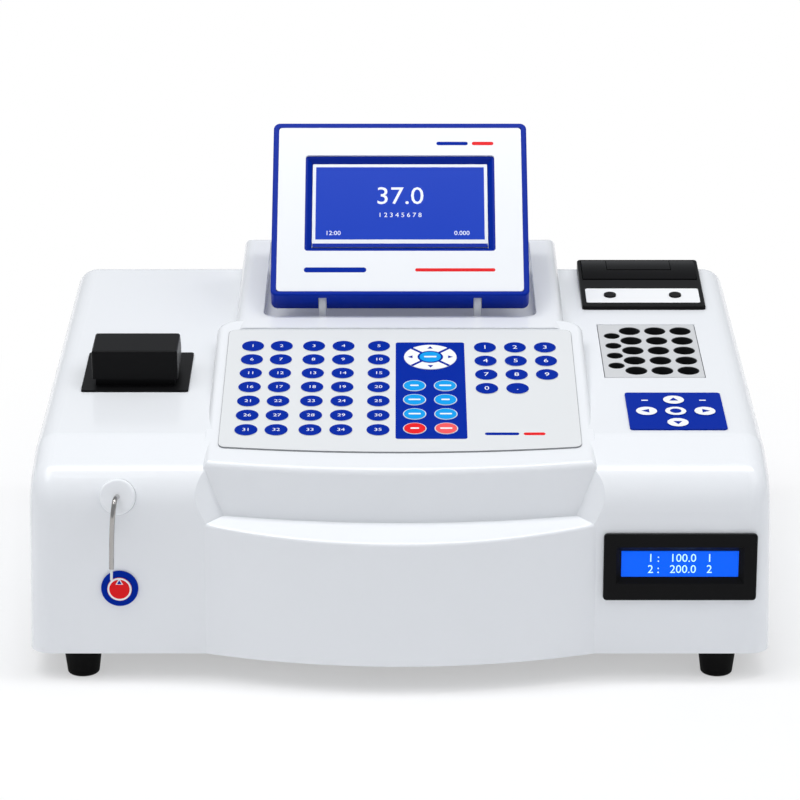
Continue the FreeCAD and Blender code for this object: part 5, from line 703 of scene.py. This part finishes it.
class ANALYZER_OT_light_screen(bpy.types.Operator):
    """Plain numbers, bars and a thin border on the large display"""

    bl_idname = "analyzer.light_screen"
    bl_label = "Light the screen"

    def execute(self, context):
        p = places()
        low, high = p.display_bottom, p.display_bottom + p.display_height
        thick = 0.12 * MM
        silver = p.silver_half_width
        for name, half, bottom, top, finish, slot in (
                ("display_field", p.display_half_width, low, high, "display", "display"),
                ("silver_sill", silver, p.silver_bottom, low, "silver", "silver"),
                ("bevel_sill", silver, p.silver_foot, p.silver_bottom, "blue", "blue")):
            strip = flat_plate((-half, bottom), (half, top), 0.0, thick)
            settle(name, [strip], screen_plane(p.display_depth), finish, SCREEN)
        marks = [
            printed_number("37.0", 17.0 * MM, (0.0, low + 30.0 * MM)),
            printed_number("1 2 3 4 5 6 7 8", 4.4 * MM, (0.0, low + 17.0 * MM)),
            printed_number("12:00", 4.2 * MM, (-40.0 * MM, low + 4.4 * MM)),
            printed_number("0.000", 4.2 * MM, (37.0 * MM, low + 4.4 * MM)),
        ]
        settle("screen_marks", marks, screen_plane(p.display_depth - thick - DISPLAY_LIFT), "glow",
               SCREEN)
        return {"FINISHED"}


class ANALYZER_OT_print_face_plate(bpy.types.Operator):
    """Plain coloured bars where the face plate and the film carry print"""

    bl_idname = "analyzer.print_face_plate"
    bl_label = "Print the face plate"

    def execute(self, context):
        face, film = screen_plane(0.0), console_plane(0.0)
        # Each bar: left, lower, right and upper edge, and corner radius, in millimetres
        for name, bars, surface, finish, body, slot in (
                ("face_plate_blue_bars", [(22.0, 104.6, 41.0, 107.0, 1.1),
                                          (-57.0, 15.6, -20.0, 19.0, 1.6)],
                 face, "ink", SCREEN, "blue"),
                ("face_plate_red_bars", [(43.5, 104.6, 56.5, 107.0, 1.1),
                                         (9.0, 16.2, 56.5, 18.4, 1.0)],
                 face, "red", SCREEN, "red"),
                ("film_blue_bar", [(47.0, -114.0, 66.0, -111.0, 1.3)],
                 film, "ink", HOUSING, "blue"),
                ("film_red_bar", [(68.5, -114.0, 80.5, -111.0, 1.3)],
                 film, "red", HOUSING, "red")):
            plates = [flat_plate((left * MM, low * MM), (right * MM, high * MM), corner * MM,
                                 0.05 * MM)
                      for left, low, right, high, corner in bars]
            settle(name, plates, surface, finish, body)
        return {"FINISHED"}


class ANALYZER_OT_print_button(bpy.types.Operator):
    """White ring and a small pointer on the sampling button"""

    bl_idname = "analyzer.print_button"
    bl_label = "Print the sampling button"

    def execute(self, context):
        p = places()
        step = 0.06 * MM
        lift = 1.3 * step
        face = plane((p.button_x, p.button_y, p.button_z), math.radians(90.0))
        layers = (
            ("button_rim", "white_ink", "white", key_cap(6.6 * MM, step)),
            ("button_disc", "red", "red", key_cap(5.6 * MM, step)),
            ("button_pointer_rim", "white_ink", "white",
             arrowhead(2.4 * MM, step, 0.0, (0.0, 4.0 * MM))),
            ("button_pointer", "ink", "blue", arrowhead(1.5 * MM, step, 0.0, (0.0, 3.85 * MM))),
        )
        for level, (name, finish, slot, item) in enumerate(layers):
            surface = face @ Matrix.Translation((0.0, 0.0, lift * level))
            settle(name, [item], surface, finish, "aspirate_button")
        return {"FINISHED"}


class ANALYZER_OT_edge_film(bpy.types.Operator):
    """Grey rim round the keypad film: painted shadow along the film's edge"""

    bl_idname = "analyzer.edge_film"
    bl_label = "Paint the film shadow"

    def execute(self, context):
        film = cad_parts["keypad_overlay"]
        # The film's side faces, pushed out a little and dressed dark grey: painted shadow along the
        # film's edge
        edge = bpy.data.objects.new("painted_film_shadow", film.data.copy())
        edge.matrix_world = film.matrix_world
        bpy.context.collection.objects.link(edge)
        pick(edge)
        bpy.ops.object.transform_apply(location=True, rotation=True, scale=True)
        flat = console_plane(0.0).inverted()
        turn = flat.to_3x3()

        def not_side(centre, normal):
            return abs((turn @ normal).z) > 0.5 or (flat @ centre).z > -0.02 * MM

        choose_faces(edge, not_side)
        bpy.ops.mesh.delete(type="FACE")
        bpy.ops.mesh.select_all(action="SELECT")
        bpy.ops.transform.shrink_fatten(value=0.12 * MM)
        bpy.ops.object.mode_set(mode="OBJECT")
        dress(edge, "painted_film_shadow")
        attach(edge, HOUSING)
        return {"FINISHED"}


class ANALYZER_OT_bend_needle(bpy.types.Operator):
    """Needle in its long soft bend, a little off upright, and the end of its liner"""

    bl_idname = "analyzer.bend_needle"
    bl_label = "Bend the needle"

    def tube(self, name, points, radius, finish, node, slot):
        """A bent tube through points in millimetres, in place of a solid of the frame."""
        data = bpy.data.curves.new(name, "CURVE")
        data.dimensions = "3D"
        data.resolution_u = 16
        data.bevel_depth = radius
        data.bevel_resolution = 5
        data.use_fill_caps = True
        run = data.splines.new("BEZIER")
        run.bezier_points.add(len(points) - 1)
        for knot, spot in zip(run.bezier_points, points):
            knot.co = Vector(spot) * MM
            knot.handle_left_type = knot.handle_right_type = "AUTO"
        item = bpy.data.objects.new(name, data)
        bpy.context.collection.objects.link(item)
        pick(item)
        bpy.ops.object.convert(target="MESH")
        bent = bpy.context.object
        dress(bent, finish)
        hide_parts(node)
        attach(bent, HOUSING)

    def execute(self, context):
        tip = (-156.5, -166.8, 71.0)
        needle = [(-153.8, -146.0, 104.9), (-153.8, -156.5, 108.5), (-154.2, -162.6, 108.2),
                  (-154.9, -165.8, 103.0), (-155.8, -166.7, 91.0), tip]
        liner = [(-156.4, -166.8, 76.0), tip, (-156.7, -166.8, 64.5)]
        self.tube("bent_needle", needle, 1.4 * MM, "steel", "aspiration_needle", "steel")
        self.tube("liner_end", liner, 0.75 * MM, "milk", "needle_liner", "tube")
        return {"FINISHED"}


class ANALYZER_OT_line_wells(bpy.types.Operator):
    """Near black cups set into the wells of the incubator block: painted shade of the deep wells"""

    bl_idname = "analyzer.line_wells"
    bl_label = "Shade the wells"

    def execute(self, context):
        p = places()
        front = -27.5 * MM
        height = p.deck_height + math.tan(p.deck_slope) * front
        surface = plane((0.0, front, height), p.deck_slope)
        row_pitch, column_pitch = 15.75, 15.1
        groups = (
            (6.35 * MM, [((137.0 + column_pitch * column) * MM, (10.4 + row_pitch * row) * MM)
                         for column in range(3) for row in range(5)]),
            (4.75 * MM, [(126.0 * MM, (18.2 + row_pitch * row) * MM) for row in range(4)]),
        )
        depth, lip, wall, bottom = 32.1 * MM, 0.2 * MM, 0.45 * MM, 0.8 * MM
        shade_pieces = []
        for radius, spots in groups:
            deselect()
            bpy.ops.mesh.primitive_cylinder_add(vertices=40, radius=radius, depth=depth,
                                                location=(0.0, 0.0, -lip - depth / 2))
            cup = bpy.context.object
            choose_faces(cup, lambda centre, normal: normal.z > TOP_FACE)
            bpy.ops.mesh.inset(thickness=wall)
            down = (0.0, 0.0, bottom - depth)
            bpy.ops.mesh.extrude_region_move(TRANSFORM_OT_translate={"value": down})
            bpy.ops.object.mode_set(mode="OBJECT")
            bpy.ops.object.shade_smooth_by_angle(angle=SMOOTH_ANGLE)
            shade_pieces += repeat(cup, spots)
        # The dark cups stand in for the shade inside the deep wells: painted shade
        settle("well_sleeves", shade_pieces, surface, "shade_in_wells", HOUSING)
        return {"FINISHED"}


class ANALYZER_OT_set_stage(bpy.types.Operator):
    """White floor, soft studio light and the camera"""

    bl_idname = "analyzer.set_stage"
    bl_label = "Set the stage"

    def execute(self, context):
        scene = context.scene
        scene.view_settings.view_transform = "Standard"
        self.add_floor()
        self.add_world(scene)
        for lamp in LAMPS:
            self.add_lamp(*lamp)
        self.add_camera(scene)
        return {"FINISHED"}

    def add_floor(self):
        """A pale floor that keeps the shadow and fades to plain white away from the part."""
        deselect()
        bpy.ops.mesh.primitive_plane_add(size=30.0, location=(0.0, 0.0, -0.1 * MM))
        floor = bpy.context.object
        floor.name = "studio_floor"
        material = bpy.data.materials.new("studio_floor")
        material.use_nodes = True
        tree = material.node_tree
        shader = tree.nodes["Principled BSDF"]
        shader.inputs["Base Color"].default_value = (0.93, 0.93, 0.94, 1.0)
        shader.inputs["Roughness"].default_value = 0.9
        coords = add_node(tree, "ShaderNodeTexCoord")
        reach = add_node(tree, "ShaderNodeVectorMath", operation="LENGTH")
        tree.links.new(coords.outputs["Object"], reach.inputs[0])
        fade = add_node(tree, "ShaderNodeMapRange", interpolation_type="SMOOTHSTEP")
        for label, value in FLOOR_FADE.items():
            fade.inputs[label].default_value = value
        tree.links.new(reach.outputs["Value"], fade.inputs["Value"])
        path = add_node(tree, "ShaderNodeLightPath")
        seen = add_node(tree, "ShaderNodeMath", operation="MAXIMUM")
        tree.links.new(path.outputs["Is Camera Ray"], seen.inputs[0])
        tree.links.new(path.outputs["Is Glossy Ray"], seen.inputs[1])
        share = add_node(tree, "ShaderNodeMath", operation="MULTIPLY")
        tree.links.new(fade.outputs["Result"], share.inputs[0])
        tree.links.new(seen.outputs[0], share.inputs[1])
        glow = add_node(tree, "ShaderNodeEmission")
        mix = add_node(tree, "ShaderNodeMixShader")
        tree.links.new(share.outputs[0], mix.inputs["Fac"])
        tree.links.new(shader.outputs[0], mix.inputs[1])
        tree.links.new(glow.outputs[0], mix.inputs[2])
        tree.links.new(mix.outputs[0], tree.nodes["Material Output"].inputs["Surface"])
        floor.data.materials.append(material)

    def add_world(self, scene):
        """Soft light all round, seen as plain white behind the part."""
        world = bpy.data.worlds.new("studio")
        scene.world = world
        world.use_nodes = True
        tree = world.node_tree
        tree.nodes.clear()
        path = add_node(tree, "ShaderNodeLightPath")
        seen = add_node(tree, "ShaderNodeMath", operation="MAXIMUM")
        tree.links.new(path.outputs["Is Camera Ray"], seen.inputs[0])
        tree.links.new(path.outputs["Is Transmission Ray"], seen.inputs[1])
        ambient = add_node(tree, "ShaderNodeBackground")
        ambient.inputs["Color"].default_value = (0.93, 0.96, 1.0, 1.0)
        ambient.inputs["Strength"].default_value = AMBIENT
        white = add_node(tree, "ShaderNodeBackground")
        white.inputs["Strength"].default_value = 1.0
        white.inputs["Color"].default_value = (1.0, 1.0, 1.0, 1.0)
        mix = add_node(tree, "ShaderNodeMixShader")
        end = add_node(tree, "ShaderNodeOutputWorld")
        tree.links.new(seen.outputs[0], mix.inputs["Fac"])
        tree.links.new(ambient.outputs[0], mix.inputs[1])
        tree.links.new(white.outputs[0], mix.inputs[2])
        tree.links.new(mix.outputs[0], end.inputs["Surface"])

    def add_lamp(self, name, spot, spread, power):
        data = bpy.data.lights.new(name, "AREA")
        data.shape = "RECTANGLE"
        data.size, data.size_y = spread
        data.energy = power
        lamp = bpy.data.objects.new(name, data)
        bpy.context.collection.objects.link(lamp)
        lamp.location = spot
        aim = Vector(LAMP_TARGET) - Vector(spot)
        lamp.rotation_euler = aim.to_track_quat("-Z", "Y").to_euler()

    def add_camera(self, scene):
        data = bpy.data.cameras.new("photo_camera")
        data.lens = 148.5
        data.sensor_width = 36.0
        camera = bpy.data.objects.new("photo_camera", data)
        scene.collection.objects.link(camera)
        camera.location = (0.0, -1.8465, 0.6967)
        camera.rotation_euler = (math.radians(72.5), 0.0, 0.0)
        scene.camera = camera


STEPS = ("finish_solids", "print_console", "print_ring", "print_side_keypad",
         "light_front_display", "light_screen", "print_face_plate", "print_button", "edge_film",
         "bend_needle", "line_wells", "set_stage")


class ANALYZER_PT_looks(bpy.types.Panel):
    """Buttons for the analyzer's looks"""

    bl_label = "Analyzer"
    bl_idname = "ANALYZER_PT_looks"
    bl_space_type = "VIEW_3D"
    bl_region_type = "UI"
    bl_category = "Analyzer"

    def draw(self, context):
        column = self.layout.column()
        for step in STEPS:
            column.operator(f"analyzer.{step}")
        for name in AnalyzerColours.__annotations__:
            column.prop(context.scene.analyzer_colours, name)
        for name in AnalyzerPlaces.__annotations__:
            column.prop(context.scene.analyzer_places, name)


CLASSES = (AnalyzerColours, AnalyzerPlaces, ANALYZER_OT_finish_solids, ANALYZER_OT_print_console,
           ANALYZER_OT_print_ring, ANALYZER_OT_print_side_keypad, ANALYZER_OT_light_front_display,
           ANALYZER_OT_light_screen, ANALYZER_OT_print_face_plate, ANALYZER_OT_print_button,
           ANALYZER_OT_edge_film, ANALYZER_OT_bend_needle, ANALYZER_OT_line_wells,
           ANALYZER_OT_set_stage, ANALYZER_PT_looks)


def register():
    for item in CLASSES:
        bpy.utils.register_class(item)
    bpy.types.Scene.analyzer_colours = bpy.props.PointerProperty(type=AnalyzerColours)
    bpy.types.Scene.analyzer_places = bpy.props.PointerProperty(type=AnalyzerPlaces)


def unregister():
    del bpy.types.Scene.analyzer_places
    del bpy.types.Scene.analyzer_colours
    for item in reversed(CLASSES):
        bpy.utils.unregister_class(item)


def main():
    register()
    for step in STEPS:
        getattr(bpy.ops.analyzer, step)()


if __name__ == "__main__":
    main()
